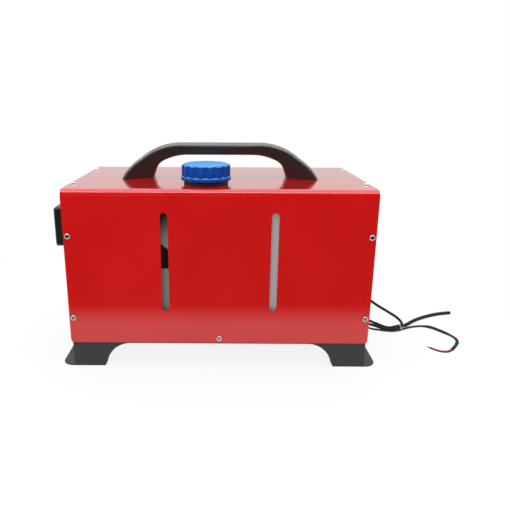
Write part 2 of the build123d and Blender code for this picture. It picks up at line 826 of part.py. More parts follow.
nozzle_run = heater_left - nozzle_plate - nozzle_mouth_x
nozzle_spigot = nozzle_mouth_x - collar_inner_x - soft_gap
nozzle_taper = math.degrees(math.atan((nozzle_root_radius - nozzle_radius) / nozzle_run))
nozzle_root = Plane(origin=(heater_left - nozzle_plate, heater_y, heater_z), x_dir=(0, 1, 0), z_dir=(-1, 0, 0))
with BuildPart() as heater_outlet_nozzle:
    with BuildSketch(on_axis(heater_left)):
        RectangleRounded(heater_width, heater_height, heater_corner)
    extrude(amount=-nozzle_plate)
    for inset, mode in ((0, Mode.ADD), (nozzle_wall, Mode.SUBTRACT)):
        with BuildSketch(nozzle_root):
            RegularPolygon(nozzle_root_radius - inset, ring_sides)
        extrude(amount=nozzle_run, taper=nozzle_taper, mode=mode)
        with BuildSketch(on_axis(collar_inner_x + soft_gap)):
            RegularPolygon(nozzle_radius - inset, ring_sides)
        extrude(amount=nozzle_spigot, mode=mode)
    with BuildSketch(on_axis(heater_left)):
        RegularPolygon(nozzle_root_radius - nozzle_wall, ring_sides)
    extrude(amount=-nozzle_plate, mode=Mode.SUBTRACT)
write("heater_outlet_nozzle", heater_outlet_nozzle.part)

# ---- Heat exchanger: finned casting on a foot block ----
with BuildPart() as heat_exchanger:
    with BuildSketch(on_axis(exchanger_left)):
        RegularPolygon(exchanger_radius, 2 * exchanger_fins)
        with PolarLocations((exchanger_radius + fin_radius) / 2 - sheet_gap, exchanger_fins):
            Rectangle(fin_radius - exchanger_radius + 2 * sheet_gap, fin_thickness)
    extrude(amount=exchanger_right - exchanger_left)
    with BuildSketch(Plane.XY.offset(tray_floor + gasket_thickness)):
        with Locations((0, heater_y)):
            RectangleRounded(2 * foot_block_x, 2 * foot_block_y, foot_block_corner)
    extrude(amount=housing_bottom - soft_gap - tray_floor - gasket_thickness)
    with BuildSketch(on_axis(exchanger_left + exchanger_end_wall)):
        RegularPolygon(exchanger_bore, disc_sides)
    extrude(amount=exchanger_right - exchanger_left, mode=Mode.SUBTRACT)
    with BuildSketch(Plane.XY.offset(tray_floor + gasket_thickness)):
        with Locations((exhaust_x, heater_y)):
            RegularPolygon(exhaust_radius - stub_step + screw_gap, disc_sides)
        with Locations((intake_x, heater_y)):
            RegularPolygon(intake_radius - stub_step + screw_gap, disc_sides)
        with Locations(*stud_places):
            RegularPolygon(stud_radius + screw_gap, hole_sides)
    extrude(amount=stub_seat, mode=Mode.SUBTRACT)
    with BuildSketch(Plane.XY.offset(heater_z)):
        with Locations((glow_plug_x, heater_y)):
            RegularPolygon(glow_plug_radius + screw_gap, hole_sides)
    extrude(amount=fin_radius, mode=Mode.SUBTRACT)
write("heat_exchanger", heat_exchanger.part)

with BuildPart() as burner_tube:
    with BuildSketch(on_axis(burner_left)):
        RegularPolygon(burner_radius, disc_sides)
        RegularPolygon(burner_radius - burner_wall, disc_sides, mode=Mode.SUBTRACT)
    extrude(amount=exchanger_right - burner_left)
    with BuildSketch(on_axis(exchanger_right - 2 * burner_wall)):
        RegularPolygon(exchanger_bore - soft_gap, disc_sides)
        RegularPolygon(burner_radius - burner_wall, disc_sides, mode=Mode.SUBTRACT)
    extrude(amount=2 * burner_wall)
write("burner_tube", burner_tube.part)

with BuildPart() as glow_plug:
    with BuildSketch(Plane.XY.offset(heater_z + burner_radius + 2 * soft_gap)):
        with Locations((glow_plug_x, heater_y)):
            RegularPolygon(glow_plug_radius, hole_sides)
    extrude(amount=fin_radius - burner_radius)
    with BuildSketch(Plane.XY.offset(heater_z + fin_radius + sheet_gap)):
        with Locations((glow_plug_x, heater_y)):
            RegularPolygon(glow_plug_head, 6)
    extrude(amount=glow_plug_radius)
write("glow_plug", glow_plug.part)

# ---- Blower: housing, motor, shaft, impeller and fan ----
with BuildPart() as impeller_housing:
    with BuildSketch(on_axis(exchanger_right)):
        RegularPolygon(housing_radius, disc_sides)
    extrude(amount=housing_right - exchanger_right)
    with BuildSketch(Plane.XZ.offset(-fuel_inlet_y)):
        with Locations((fuel_inlet_x, fuel_inlet_z)):
            RegularPolygon(line_radius, hole_sides)
    extrude(amount=-(heater_y - fuel_inlet_y - exchanger_bore))
    with BuildSketch(on_axis(exchanger_right)):
        RegularPolygon(housing_radius - housing_wall, disc_sides)
    extrude(amount=housing_right - exchanger_right - housing_wall, mode=Mode.SUBTRACT)
    with BuildSketch(on_axis(exchanger_right)):
        Circle(shaft_radius + fit_gap)
    extrude(amount=housing_right - exchanger_right, mode=Mode.SUBTRACT)
write("impeller_housing", impeller_housing.part)

with BuildPart() as blower_motor:
    with BuildSketch(on_axis(housing_right)):
        RegularPolygon(motor_radius, disc_sides)
        with Locations((0, motor_radius / 2)):
            Rectangle(2 * motor_saddle, motor_radius)
        Circle(shaft_radius + fit_gap, mode=Mode.SUBTRACT)
    extrude(amount=motor_right - housing_right)
write("blower_motor", blower_motor.part)

with BuildPart() as control_board:
    with BuildSketch(Plane.XY.offset(heater_z + motor_radius + sheet_gap)):
        with Locations(((housing_right + motor_right) / 2, heater_y)):
            Rectangle(board_length, board_width)
    extrude(amount=board_thickness)
    fillet(control_board.edges().filter_by(Axis.Z), radius=board_corner)
write("control_board", control_board.part)

with BuildPart() as motor_shaft:
    with BuildSketch(on_axis(exchanger_right + sheet_gap)):
        Circle(shaft_radius)
    extrude(amount=fan_left + fan_width - exchanger_right)
write("motor_shaft", motor_shaft.part)

with BuildPart() as combustion_impeller:
    with BuildSketch(on_axis(impeller_left)):
        RegularPolygon(impeller_radius, disc_sides)
    extrude(amount=impeller_plate)
    with BuildSketch(on_axis(impeller_left)):
        with PolarLocations(impeller_radius - impeller_vane / 2, impeller_vanes):
            Rectangle(impeller_vane, impeller_plate, rotation=impeller_sweep)
    extrude(amount=-impeller_vane_height)
    with BuildSketch(on_axis(impeller_left - impeller_vane_height)):
        RegularPolygon(2 * shaft_radius, nose_sides)
    extrude(amount=impeller_vane_height)
    with BuildSketch(on_axis(impeller_left - impeller_vane_height)):
        Circle(shaft_radius + fit_gap)
    extrude(amount=impeller_vane_height + impeller_plate, mode=Mode.SUBTRACT)
write("combustion_impeller", combustion_impeller.part)

with BuildPart() as hot_air_fan:
    for blade in range(fan_blades):
        angle = math.radians(blade * 360 / fan_blades)
        root = Plane(origin=(fan_left + fan_width / 2, heater_y, heater_z), x_dir=(1, 0, 0),
                     z_dir=(0, math.cos(angle), math.sin(angle)))
        with BuildSketch(root.offset(fan_hub_radius - 2 * fan_blade_sheet)):
            Rectangle(fan_width, fan_blade_sheet, rotation=fan_pitch)
        extrude(amount=fan_radius - fan_hub_radius)
    with BuildSketch(on_axis(fan_left)):
        RegularPolygon(fan_hub_radius, disc_sides)
    extrude(amount=fan_width)
    with BuildSketch(on_axis(fan_left)):
        Circle(shaft_radius + fit_gap)
    extrude(amount=fan_width, mode=Mode.SUBTRACT)
write("hot_air_fan", hot_air_fan.part)

# ---- Burner flange: gasket, stubs, studs and nuts ----
with BuildPart() as flange_gasket:
    with BuildSketch(Plane.XY.offset(tray_floor)):
        with Locations((0, heater_y)):
            RectangleRounded(2 * foot_block_x, 2 * foot_block_y, foot_block_corner)
        with Locations((exhaust_x, heater_y)):
            RegularPolygon(exhaust_radius + soft_gap, disc_sides, mode=Mode.SUBTRACT)
        with Locations((intake_x, heater_y)):
            RegularPolygon(intake_radius + soft_gap, disc_sides, mode=Mode.SUBTRACT)
        with Locations(*stud_places):
            RegularPolygon(stud_radius + soft_gap, hole_sides, mode=Mode.SUBTRACT)
    extrude(amount=gasket_thickness)
write("flange_gasket", flange_gasket.part)


def stub(x, radius):
    """A pipe stub: a spigot seated in the foot block, and a wider length under the tray for the pipe."""
    with BuildPart() as pipe:
        with BuildSketch(Plane.XY.offset(stub_bottom)):
            with Locations((x, heater_y)):
                Circle(radius)
        extrude(amount=stub_clamp_length)
        with BuildSketch(Plane.XY.offset(stub_bottom)):
            with Locations((x, heater_y)):
                RegularPolygon(radius - stub_step, disc_sides)
        extrude(amount=tray_floor + gasket_thickness + stub_seat - sheet_gap - stub_bottom)
        with BuildSketch(Plane.XY.offset(stub_bottom)):
            with Locations((x, heater_y)):
                RegularPolygon(radius - stub_wall, disc_sides)
        extrude(amount=tray_floor + gasket_thickness + stub_seat - stub_bottom, mode=Mode.SUBTRACT)
    return pipe.part


write("exhaust_stub", stub(exhaust_x, exhaust_radius))
write("intake_stub", stub(intake_x, intake_radius))

with BuildPart() as stud_nuts:
    with BuildSketch(Plane.XY.offset(tray_underside - nut_height)):
        with Locations(*stud_places):
            RegularPolygon(nut_radius, 6)
    extrude(amount=nut_height)
    with BuildSketch(Plane.XY.offset(tray_underside - 2 * nut_height)):
        with Locations(*stud_places):
            RegularPolygon(stud_radius, hole_sides)
    extrude(amount=tray_floor + gasket_thickness + stub_seat - sheet_gap - tray_underside + 2 * nut_height)
write("stud_nuts", stud_nuts.part)

# ---- Hot air outlet: collar and turning louvre ----
with BuildPart() as outlet_collar:
    with BuildSketch(on_axis(collar_inner_x)):
        Circle(outlet_radius)
    extrude(amount=collar_outer_x - collar_inner_x)
    with BuildSketch(on_axis(-end_out_x)):
        RegularPolygon(outlet_flange_radius, ring_sides)
    extrude(amount=-outlet_flange)
    with BuildSketch(on_axis(collar_inner_x)):
        Circle(outlet_bore)
    extrude(amount=collar_outer_x - collar_inner_x, mode=Mode.SUBTRACT)
write("outlet_collar", outlet_collar.part)

louvre_radius = outlet_bore - soft_gap
with BuildPart() as outlet_louvre:
    with BuildSketch(Plane.XZ.offset(-heater_y)):
        for vane in range(louvre_vanes):
            rise = (vane - (louvre_vanes - 1) / 2) * louvre_pitch
            with Locations((collar_outer_x - soft_gap - louvre_lip / 2 + louvre_depth / 2, heater_z + rise)):
                Rectangle(louvre_depth, louvre_sheet, rotation=louvre_tilt)
    extrude(amount=louvre_radius, both=True)
    with BuildSketch(on_axis(collar_outer_x - soft_gap - louvre_lip)):
        Circle(louvre_radius - louvre_ring / 2)
    extrude(amount=louvre_depth + louvre_lip, mode=Mode.INTERSECT)
    with BuildSketch(on_axis(collar_outer_x - soft_gap)):
        Circle(louvre_radius)
        Circle(louvre_radius - louvre_ring, mode=Mode.SUBTRACT)
    extrude(amount=louvre_depth)
    with BuildSketch(on_axis(collar_outer_x - soft_gap - louvre_lip)):
        Circle(outlet_radius - louvre_lip_inset)
        Circle(louvre_radius - louvre_ring, mode=Mode.SUBTRACT)
    extrude(amount=louvre_lip)
write("outlet_louvre", outlet_louvre.part)


# ---- Display controller ----
def out_from_end(reach):
    """A plane facing left, a given reach outside the left end panel, centred on the controller."""
    return Plane(origin=(-end_out_x - reach, controller_middle_y, controller_middle_z),
                 x_dir=(0, -1, 0), z_dir=(-1, 0, 0))


with BuildPart() as controller_back:
    with BuildSketch(out_from_end(0)):
        with Locations((0, -bracket_drop / 2)):
            RectangleRounded(controller_width, controller_height + bracket_drop, controller_corner)
    extrude(amount=controller_back_depth)
    with BuildSketch(out_from_end(controller_wall)):
        RectangleRounded(controller_width - 2 * controller_wall, controller_height - 2 * controller_wall,
                         controller_corner - controller_wall)
        with GridLocations(controller_screw_spread, 1, 2, 1):
            RegularPolygon(post_radius, hole_sides, mode=Mode.SUBTRACT)
    extrude(amount=controller_back_depth, mode=Mode.SUBTRACT)
    with BuildSketch(out_from_end(0)):
        with GridLocations(controller_screw_spread, 1, 2, 1):
            RegularPolygon(controller_screw_radius + screw_gap, hole_sides)
    extrude(amount=controller_back_depth - controller_wall, mode=Mode.SUBTRACT)
write("controller_back", controller_back.part)

with BuildPart() as controller_front:
    with BuildSketch(out_from_end(controller_back_depth)):
        RectangleRounded(controller_width, controller_height, controller_corner)
    extrude(amount=controller_face - controller_back_depth)
    chamfer(controller_front.faces().sort_by(Axis.X)[0].edges(), length=controller_edge)
    with BuildSketch(out_from_end(controller_back_depth)):
        RectangleRounded(controller_width - 2 * controller_wall, controller_height - 2 * controller_wall,
                         controller_corner - controller_wall)
    extrude(amount=controller_face - controller_back_depth - controller_wall, mode=Mode.SUBTRACT)
    with BuildSketch(out_from_end(controller_face)):
        Rectangle(window_width + 2 * button_gap, window_height + 2 * button_gap)
        with Locations(*button_places.values()):
            RegularPolygon(button_radius + button_gap, disc_sides)
    extrude(amount=-2 * controller_wall, mode=Mode.SUBTRACT)
write("controller_front", controller_front.part)

with BuildPart() as controller_board:
    with BuildSketch(out_from_end(board_reach)):
        Rectangle(board_span, board_rise)
    extrude(amount=board_sheet)
    with BuildSketch(out_from_end(board_reach + board_sheet)):
        Rectangle(window_width + 2 * window_lap, window_height + 2 * window_lap)
    extrude(amount=window_back - sheet_gap - board_reach - board_sheet)
    with BuildSketch(out_from_end(board_reach + board_sheet)):
        with Locations(*button_places.values()):
            Rectangle(button_radius, button_radius)
    extrude(amount=button_back - button_travel - sheet_gap - board_reach - board_sheet)
write("controller_board", controller_board.part)

with BuildPart() as controller_window:
    with BuildSketch(out_from_end(window_back)):
        Rectangle(window_width + 2 * window_lap, window_height + 2 * window_lap)
    extrude(amount=controller_face - controller_wall - sheet_gap - window_back)
    with BuildSketch(out_from_end(window_back)):
        Rectangle(window_width, window_height)
    extrude(amount=controller_face - window_recess - window_back)
write("controller_window", controller_window.part)


def button(place):
    """A round key with a flange that holds it behind the controller's face."""
    with BuildPart() as key:
        with BuildSketch(out_from_end(button_back)):
            with Locations(place):
                RegularPolygon(button_flange, disc_sides)
        extrude(amount=controller_face - controller_wall - soft_gap - button_back)
        with BuildSketch(out_from_end(button_back)):
            with Locations(place):
                RegularPolygon(button_radius, disc_sides)
        extrude(amount=controller_face + button_proud - button_back)
    return key.part


for name, place in button_places.items():
    write(name + "_button", button(place))

with BuildPart() as controller_screws:
    with BuildSketch(out_from_end(-end_sheet)):
        with GridLocations(controller_screw_spread, 1, 2, 1):
            RegularPolygon(screw_head_radius, nose_sides)
    extrude(amount=-screw_head_height)
    with BuildSketch(out_from_end(-end_sheet)):
        with GridLocations(controller_screw_spread, 1, 2, 1):
            RegularPolygon(controller_screw_radius, hole_sides)
    extrude(amount=end_sheet + controller_back_depth - controller_wall - screw_gap)
write("controller_screws", controller_screws.part)

# ---- Fuel system ----
with BuildPart() as tank_outlet_fitting:
    with BuildSketch(Plane(origin=(tank_right, fitting_y, suction_z), x_dir=(0, 1, 0), z_dir=(1, 0, 0))):
        RegularPolygon(fitting_hex, 6)
    extrude(amount=fitting_flange)
    with BuildSketch(Plane(origin=(tank_right - tank_wall, fitting_y, suction_z), x_dir=(0, 1, 0),
                           z_dir=(1, 0, 0))):
        RegularPolygon(nipple_radius, hole_sides)
    extrude(amount=fitting_end_x - tank_right + tank_wall)
write("tank_outlet_fitting", tank_outlet_fitting.part)

filter_end_y = filter_start_y + 2 * filter_nipple + filter_body
with BuildPart() as fuel_filter:
    with BuildSketch(Plane(origin=(pump_x, filter_start_y + filter_nipple, suction_z), z_dir=(0, 1, 0))):
        RegularPolygon(filter_radius, disc_sides)
    extrude(amount=filter_body)
    chamfer(fuel_filter.faces().filter_by(Axis.Y).edges(), length=filter_bevel)
    with BuildSketch(Plane(origin=(pump_x, filter_start_y, suction_z), z_dir=(0, 1, 0))):
        RegularPolygon(nipple_radius, hole_sides)
    extrude(amount=filter_body + 2 * filter_nipple)
write("fuel_filter", fuel_filter.part)

suction_hose = tube([(fitting_end_x, fitting_y, suction_z), (pump_x, fitting_y, suction_z),
                     (pump_x, filter_start_y, suction_z)], hose_radius, hose_bend)
pump_hose = tube([(pump_x, filter_end_y, suction_z), (pump_x, pump_y, suction_z),
                  (pump_x, pump_y, pump_bottom)], hose_radius, hose_bend)
with BuildPart() as fuel_hoses:
    add(suction_hose)
    add(pump_hose)
write("fuel_hoses", fuel_hoses.part)

with BuildPart() as fuel_pump:
    with BuildSketch(Plane.XY.offset(pump_bottom)):
        with Locations((pump_x, pump_y)):
            RegularPolygon(nipple_radius, hole_sides)
    extrude(amount=pump_body_bottom - pump_bottom)
    with BuildSketch(Plane.XY.offset(pump_body_bottom)):
        with Locations((pump_x, pump_y)):
            RegularPolygon(pump_radius, disc_sides)
    extrude(amount=pump_body_top - pump_body_bottom)
    chamfer(fuel_pump.faces().filter_by(Axis.Z).sort_by(Axis.Z)[-1].edges(), length=pump_bevel)
    with BuildSketch(Plane.XY.offset(pump_body_top)):
        with Locations((pump_x, pump_y)):
            RegularPolygon(pump_radius / 2, nose_sides)
    extrude(amount=pump_neck_top - pump_body_top)
    with BuildSketch(Plane.XY.offset(pump_neck_top)):
        with Locations((pump_x, pump_y)):
            RegularPolygon(line_radius, hole_sides)
    extrude(amount=pump_top - pump_neck_top)
    with BuildSketch(Plane.XY.offset(plunger_seat_z)):
        with Locations((pump_x, pump_y)):
            Circle(pump_bore)
    extrude(amount=plunger_length + plunger_stroke + 2 * soft_gap, mode=Mode.SUBTRACT)
    with BuildSketch(Plane.XY.offset(plunger_seat_z)):
        with Locations((pump_x, pump_y)):
            RegularPolygon(line_radius / 2, hole_sides)
    extrude(amount=pump_top - plunger_seat_z, mode=Mode.SUBTRACT)
write("fuel_pump", fuel_pump.part)

with BuildPart() as pump_plunger:
    with BuildSketch(Plane.XY.offset(plunger_seat_z + soft_gap)):
        with Locations((pump_x, pump_y)):
            Circle(pump_bore - fit_gap)
    extrude(amount=plunger_length)
write("pump_plunger", pump_plunger.part)

with BuildPart() as pump_mount:
    with BuildSketch(Plane.XY.offset(pump_clamp_z)):
        with Locations((pump_x, pump_y)):
            RegularPolygon(pump_radius + soft_gap + clamp_wall, disc_sides)
        with Locations((pump_x - pump_radius - soft_gap - clamp_wall / 2, pump_y)):
            Rectangle(clamp_wall, 2 * clamp_half_width)
        with Locations((pump_x, pump_y)):
            RegularPolygon(pump_radius + soft_gap, disc_sides, mode=Mode.SUBTRACT)
    extrude(amount=clamp_height)
    with BuildSketch(Plane.XY.offset(tray_floor)):
        with Locations((pump_x - pump_radius - soft_gap - clamp_wall, pump_y - clamp_half_width)):
            Rectangle(base_sheet, 2 * clamp_half_width, align=Align.MIN)
    extrude(amount=pump_clamp_z + clamp_height - tray_floor)
    with BuildSketch(Plane.XY.offset(tray_floor)):
        with Locations((pump_x - pump_radius - soft_gap - clamp_wall, pump_y - clamp_half_width)):
            Rectangle(clamp_foot, 2 * clamp_half_width, align=Align.MIN)
    extrude(amount=base_sheet)
write("pump_mount", pump_mount.part)

fuel_line = tube([(pump_x, pump_y, pump_top), (pump_x, pump_y, line_level),
                  (fuel_inlet_x, pump_y, line_level), (fuel_inlet_x, pump_y, fuel_inlet_z),
                  (fuel_inlet_x, fuel_inlet_y, fuel_inlet_z)], line_radius, line_bend)
write("fuel_line", fuel_line)

# ---- Cable exits and inner wiring ----
def grommet(y, z, radius):
    """A rubber bush that fills its hole in the right end panel, with a nose towards the cord."""
    hole = Plane(origin=(end_in_x, y, z), x_dir=(0, 1, 0), z_dir=(1, 0, 0))
    with BuildPart() as bush:
        with BuildSketch(hole.offset(-grommet_flange)):
            RegularPolygon(grommet_flange_radius, nose_sides)
        extrude(amount=grommet_flange)
        with BuildSketch(hole):
            RegularPolygon(grommet_hole - sheet_gap, nose_sides)
        extrude(amount=end_sheet)
        with BuildSketch(hole.offset(end_sheet)):
            RegularPolygon(grommet_flange_radius, nose_sides)
        extrude(amount=grommet_flange)
        with BuildSketch(hole.offset(end_sheet + grommet_flange)):
            RegularPolygon(radius + grommet_wall, nose_sides)
        extrude(amount=grommet_nose)
    return bush.part


with BuildPart() as cable_grommets:
    add(grommet(aux_exit_y, aux_exit_z, aux_diameter / 2 + soft_gap))
    add(grommet(power_exit_y, power_exit_z, power_diameter / 2 + soft_gap))
write("cable_grommets", cable_grommets.part)

loom_start_z = heater_z + motor_radius + sheet_gap + board_thickness
loom_end_x = end_in_x - grommet_flange
aux_loom = tube([(loom_exit_x, loom_exit_y, loom_start_z), (loom_exit_x, loom_exit_y, loom_level),
                 (loom_drop_x, loom_exit_y, loom_level), (loom_drop_x, aux_exit_y, aux_exit_z),
                 (loom_end_x, aux_exit_y, aux_exit_z)], loom_radius, loom_bend)
power_loom = tube([(loom_end_x, power_exit_y, power_exit_z), (loom_drop_x, power_exit_y, power_exit_z),
                   (loom_drop_x, aux_exit_y, aux_exit_z + loom_bend)], screen_cable_radius, loom_bend / 2)
screen_loom = tube([(screen_cable_x, loom_exit_y, loom_start_z),
                    (screen_cable_x, loom_exit_y, screen_cable_level),
                    (tank_left, loom_exit_y, screen_cable_level),
                    (screen_cable_turn_x, controller_middle_y, controller_middle_z),
                    (-end_out_x, controller_middle_y, controller_middle_z)], screen_cable_radius,
                   screen_cable_bend)
with BuildPart() as wiring_loom:
    add(aux_loom)
    add(power_loom)
    add(screen_loom)
write("wiring_loom", wiring_loom.part)

# ---- Free cords: points chosen along each one's route ----
exit_x = end_out_x + grommet_flange + grommet_nose
aux_lie = aux_diameter / 2 + floor_lift
aux_tied = aux_lie + tie_sheet + floor_lift
sleeve_lie = sleeve_diameter / 2 + floor_lift
power_lie = power_diameter / 2 + floor_lift
power_tied = power_lie + tie_sheet + floor_lift
core_lie = core_diameter / 2 + floor_lift

aux_route = [
    (exit_x, aux_exit_y, aux_exit_z), (219, aux_exit_y, aux_exit_z), (235, 25.5, 47.5), (252, 26.5, 34.5),
    (268, 28.5, 24.5), (280, 31.5, 16.5), (289.8, 35.6, 9.6), (296, 31.6, 4.4), (297, 24.3, aux_lie),
    (293, 17.9, aux_tied), (286, 13.9, aux_tied), (279, 10.6, aux_tied), (271.8, 8.4, aux_lie),
    (265, 11.2, aux_lie), (260.3, 17.6, aux_lie), (255.3, 24.5, aux_lie), (249.8, 31.8, aux_lie),
    (245.2, 40.5, aux_lie), (239.2, 48.3, aux_lie), (229.5, 51.3, aux_lie), (220.3, 47.3, aux_lie),
    (216.9, 38, aux_lie), (219.5, 28.8, aux_lie), (228, 23.6, aux_lie), (238, 24.8, aux_lie), (247, 20, aux_lie),
    (255.5, 10.6, aux_lie), (262.5, 3.8, aux_lie), (270.5, 1.6, aux_lie), (279, 3.4, aux_tied),
    (287, 8.4, aux_tied), (295, 13.8, aux_tied), (304, 21, sleeve_lie), (315, 31.8, sleeve_lie),
    (328.5, 42.8, sleeve_lie), (345, 53.3, sleeve_lie), (363, 62.2, sleeve_lie), (378, 67.6, sleeve_lie),
    (393, 70.4, sleeve_lie)]
power_route = [
    (exit_x, power_exit_y, power_exit_z), (214, power_exit_y, power_exit_z), (221.5, -5.7, 56),
    (225.7, -4.8, 48.5), (226.8, -3.4, 39), (226.6, -1.4, 29), (227, 1, 19.3), (229.6, 3.6, 10.8), (235.5, 5.4, 4),
    (243.5, 5.6, power_lie), (252.5, 3.2, power_lie), (262, -0.8, power_lie), (271.5, -2.3, power_lie),
    (281, -1.4, power_tied), (290, 3.4, power_tied), (301, 10.2, power_tied), (314, 16.4, power_lie),
    (327, 18.4, power_lie), (338, 11.6, power_lie), (349, -4.6, power_lie), (361, -20.5, power_lie),
    (361.8, -36, power_lie), (353, -52, power_lie), (339.5, -67.8, power_lie)]
cord("aux_lead", aux_route, aux_diameter)
cord("power_lead", power_route, power_diameter)
red_route = [
    (338.6, -67.3, core_lie), (333, -71.6, core_lie), (323.8, -71.2, core_lie), (316.6, -66.4, core_lie),
    (311.6, -59.6, core_lie)]
black_route = [
    (340.1, -68.6, core_lie), (333.5, -74.8, core_lie), (323.5, -74.3, core_lie), (316, -69, core_lie),
    (310.4, -61.6, core_lie)]
cord("lead_core_red", red_route, core_diameter)
cord("lead_core_black", black_route, core_diameter)

with BuildPart() as bare_tips:
    for route in (red_route, black_route):
        last, end = Vector(*route[-2]), Vector(*route[-1])
        with BuildSketch(Plane(origin=end, z_dir=end - last)):
            RegularPolygon(tip_diameter / 2, tube_sides)
        extrude(amount=tip_length)
write("bare_tips", bare_tips.part)

# A sleeve over the second half of the aux lead, closed at its tip
sleeve_bends = turn_radii(aux_route)[sleeve_corner - 1:]
sleeve_start = (Vector(*aux_route[sleeve_corner - 1]) + Vector(*aux_route[sleeve_corner])) / 2
sleeve_points = [sleeve_start, *[Vector(*point) for point in aux_route[sleeve_corner:]]]
with BuildPart() as aux_lead_cap:
    add(tube(sleeve_points, sleeve_diameter / 2, sleeve_bends))
    add(tube(sleeve_points, sleeve_bore / 2, sleeve_bends), mode=Mode.SUBTRACT)
    with BuildSketch(Plane(origin=sleeve_points[-1], z_dir=sleeve_points[-1] - sleeve_points[-2])):
        RegularPolygon(sleeve_diameter / 2, tube_sides)
    extrude(amount=sleeve_tip)
    chamfer(aux_lead_cap.faces().sort_by(Axis.X)[-1].edges(), length=sleeve_tip_bevel)
write("aux_lead_cap", aux_lead_cap.part)

with BuildPart() as cord_tie:
    with BuildSketch(Plane.YZ.offset(tie_x - tie_width / 2)):
        with Locations((tie_middle_y, tie_inner_height / 2 + floor_lift + tie_sheet)):
            RectangleRounded(tie_span + 2 * tie_sheet, tie_inner_height + 2 * tie_sheet, tie_corner + tie_sheet)
            RectangleRounded(tie_span, tie_inner_height, tie_corner, mode=Mode.SUBTRACT)
    extrude(amount=tie_width)
write("cord_tie", cord_tie.part)
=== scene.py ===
import json
import math

import bmesh
import bpy
from mathutils import Matrix, Vector


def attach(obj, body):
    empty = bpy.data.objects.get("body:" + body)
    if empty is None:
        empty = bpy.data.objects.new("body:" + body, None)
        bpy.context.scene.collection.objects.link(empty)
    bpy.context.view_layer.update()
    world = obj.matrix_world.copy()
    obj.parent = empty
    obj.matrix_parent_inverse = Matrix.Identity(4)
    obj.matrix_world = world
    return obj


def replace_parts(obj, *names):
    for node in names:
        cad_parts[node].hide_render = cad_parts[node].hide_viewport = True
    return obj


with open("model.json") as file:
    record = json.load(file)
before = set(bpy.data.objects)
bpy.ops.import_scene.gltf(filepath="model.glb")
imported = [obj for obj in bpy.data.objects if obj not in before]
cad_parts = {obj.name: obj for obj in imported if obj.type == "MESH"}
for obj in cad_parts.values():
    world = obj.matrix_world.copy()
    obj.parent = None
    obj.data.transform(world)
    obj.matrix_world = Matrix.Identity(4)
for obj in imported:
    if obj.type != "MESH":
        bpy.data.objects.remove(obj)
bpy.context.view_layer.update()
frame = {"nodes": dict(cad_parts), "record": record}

# A portable diesel air heater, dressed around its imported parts. Z points up, and the origin is on the
# floor between the foot bolt holes. The camera looks along +Y at the red front. Objects, materials and
# lamps are in metres; routes, profiles and sizes of the pieces are in millimetres.
MM = 0.001
WHITE = (1.0, 1.0, 1.0, 1.0)
UP = Vector((0, 0, 1))

# ---- Camera: fitted to the case's edges in the 510 x 510 photograph ----
photo_size = 510
focal_pixels = 538.7
axis_pixel_x = 219.05
axis_pixel_y = 258.1
sensor_width = 36.0
camera_place = Vector((0.0014, -0.7846, 0.3543))
camera_yaw = -0.003
camera_pitch = 0.291
camera_roll = 0.004


def make_camera():
    """The photograph's camera: its place and turn, and the shift that the photograph's framing has."""
    data = bpy.data.cameras.new("photo_camera")
    data.sensor_width = sensor_width
    data.lens = focal_pixels / photo_size * sensor_width
    data.shift_x = (photo_size / 2 - axis_pixel_x) / photo_size
    data.shift_y = (axis_pixel_y - photo_size / 2) / photo_size
    camera = bpy.data.objects.new("photo_camera", data)
    bpy.context.scene.collection.objects.link(camera)
    forward = Vector((math.sin(camera_yaw) * math.cos(camera_pitch),
                      math.cos(camera_yaw) * math.cos(camera_pitch),
                      -math.sin(camera_pitch)))
    level = Vector((math.cos(camera_yaw), -math.sin(camera_yaw), 0.0))
    upright = level.cross(forward)
    right = math.cos(camera_roll) * level + math.sin(camera_roll) * upright
    up = -math.sin(camera_roll) * level + math.cos(camera_roll) * upright
    turn = Matrix((right, up, -forward)).transposed()
    camera.matrix_world = Matrix.Translation(camera_place) @ turn.to_4x4()
    bpy.context.scene.camera = camera


make_camera()


# ---- Helpers: materials ----
def new_material(name):
    """A material with its nodes, and its shader."""
    material = bpy.data.materials.new(name)
    material.use_nodes = True
    tree = material.node_tree
    return material, tree, tree.nodes["Principled BSDF"]


def srgb(red, green, blue):
    """A display colour, 0 to 255, as the linear colour that a shader takes."""
    colour = []
    for value in (red / 255, green / 255, blue / 255):
        colour.append(value / 12.92 if value <= 0.04045 else ((value + 0.055) / 1.055) ** 2.4)
    return colour + [1.0]


def grey(level):
    """A linear grey, which may be brighter than white where it lights something."""
    return (level, level, level, 1.0)


def place_map(tree):
    """Object coordinates, which are metres in the shared frame."""
    return tree.nodes.new("ShaderNodeTexCoord").outputs["Object"]


def axes_of(tree, source):
    """The X, Y and Z outputs of a vector."""
    node = tree.nodes.new("ShaderNodeSeparateXYZ")
    tree.links.new(source, node.inputs["Vector"])
    return node.outputs


def noise(tree, source, scale, detail=3.0, roughness=0.5):
    node = tree.nodes.new("ShaderNodeTexNoise")
    node.inputs["Scale"].default_value = scale
    node.inputs["Detail"].default_value = detail
    node.inputs["Roughness"].default_value = roughness
    tree.links.new(source, node.inputs["Vector"])
    return node.outputs["Fac"]


def ramp(tree, source, low, high, low_colour, high_colour):
    node = tree.nodes.new("ShaderNodeValToRGB")
    node.color_ramp.elements[0].position = low
    node.color_ramp.elements[1].position = high
    node.color_ramp.elements[0].color = low_colour
    node.color_ramp.elements[1].color = high_colour
    tree.links.new(source, node.inputs["Fac"])
    return node.outputs["Color"]


def spread(tree, source, low, high):
    """A 0 to 1 value mapped to low to high."""
    node = tree.nodes.new("ShaderNodeMapRange")
    node.inputs["To Min"].default_value = low
    node.inputs["To Max"].default_value = high
    tree.links.new(source, node.inputs["Value"])
    return node.outputs["Result"]


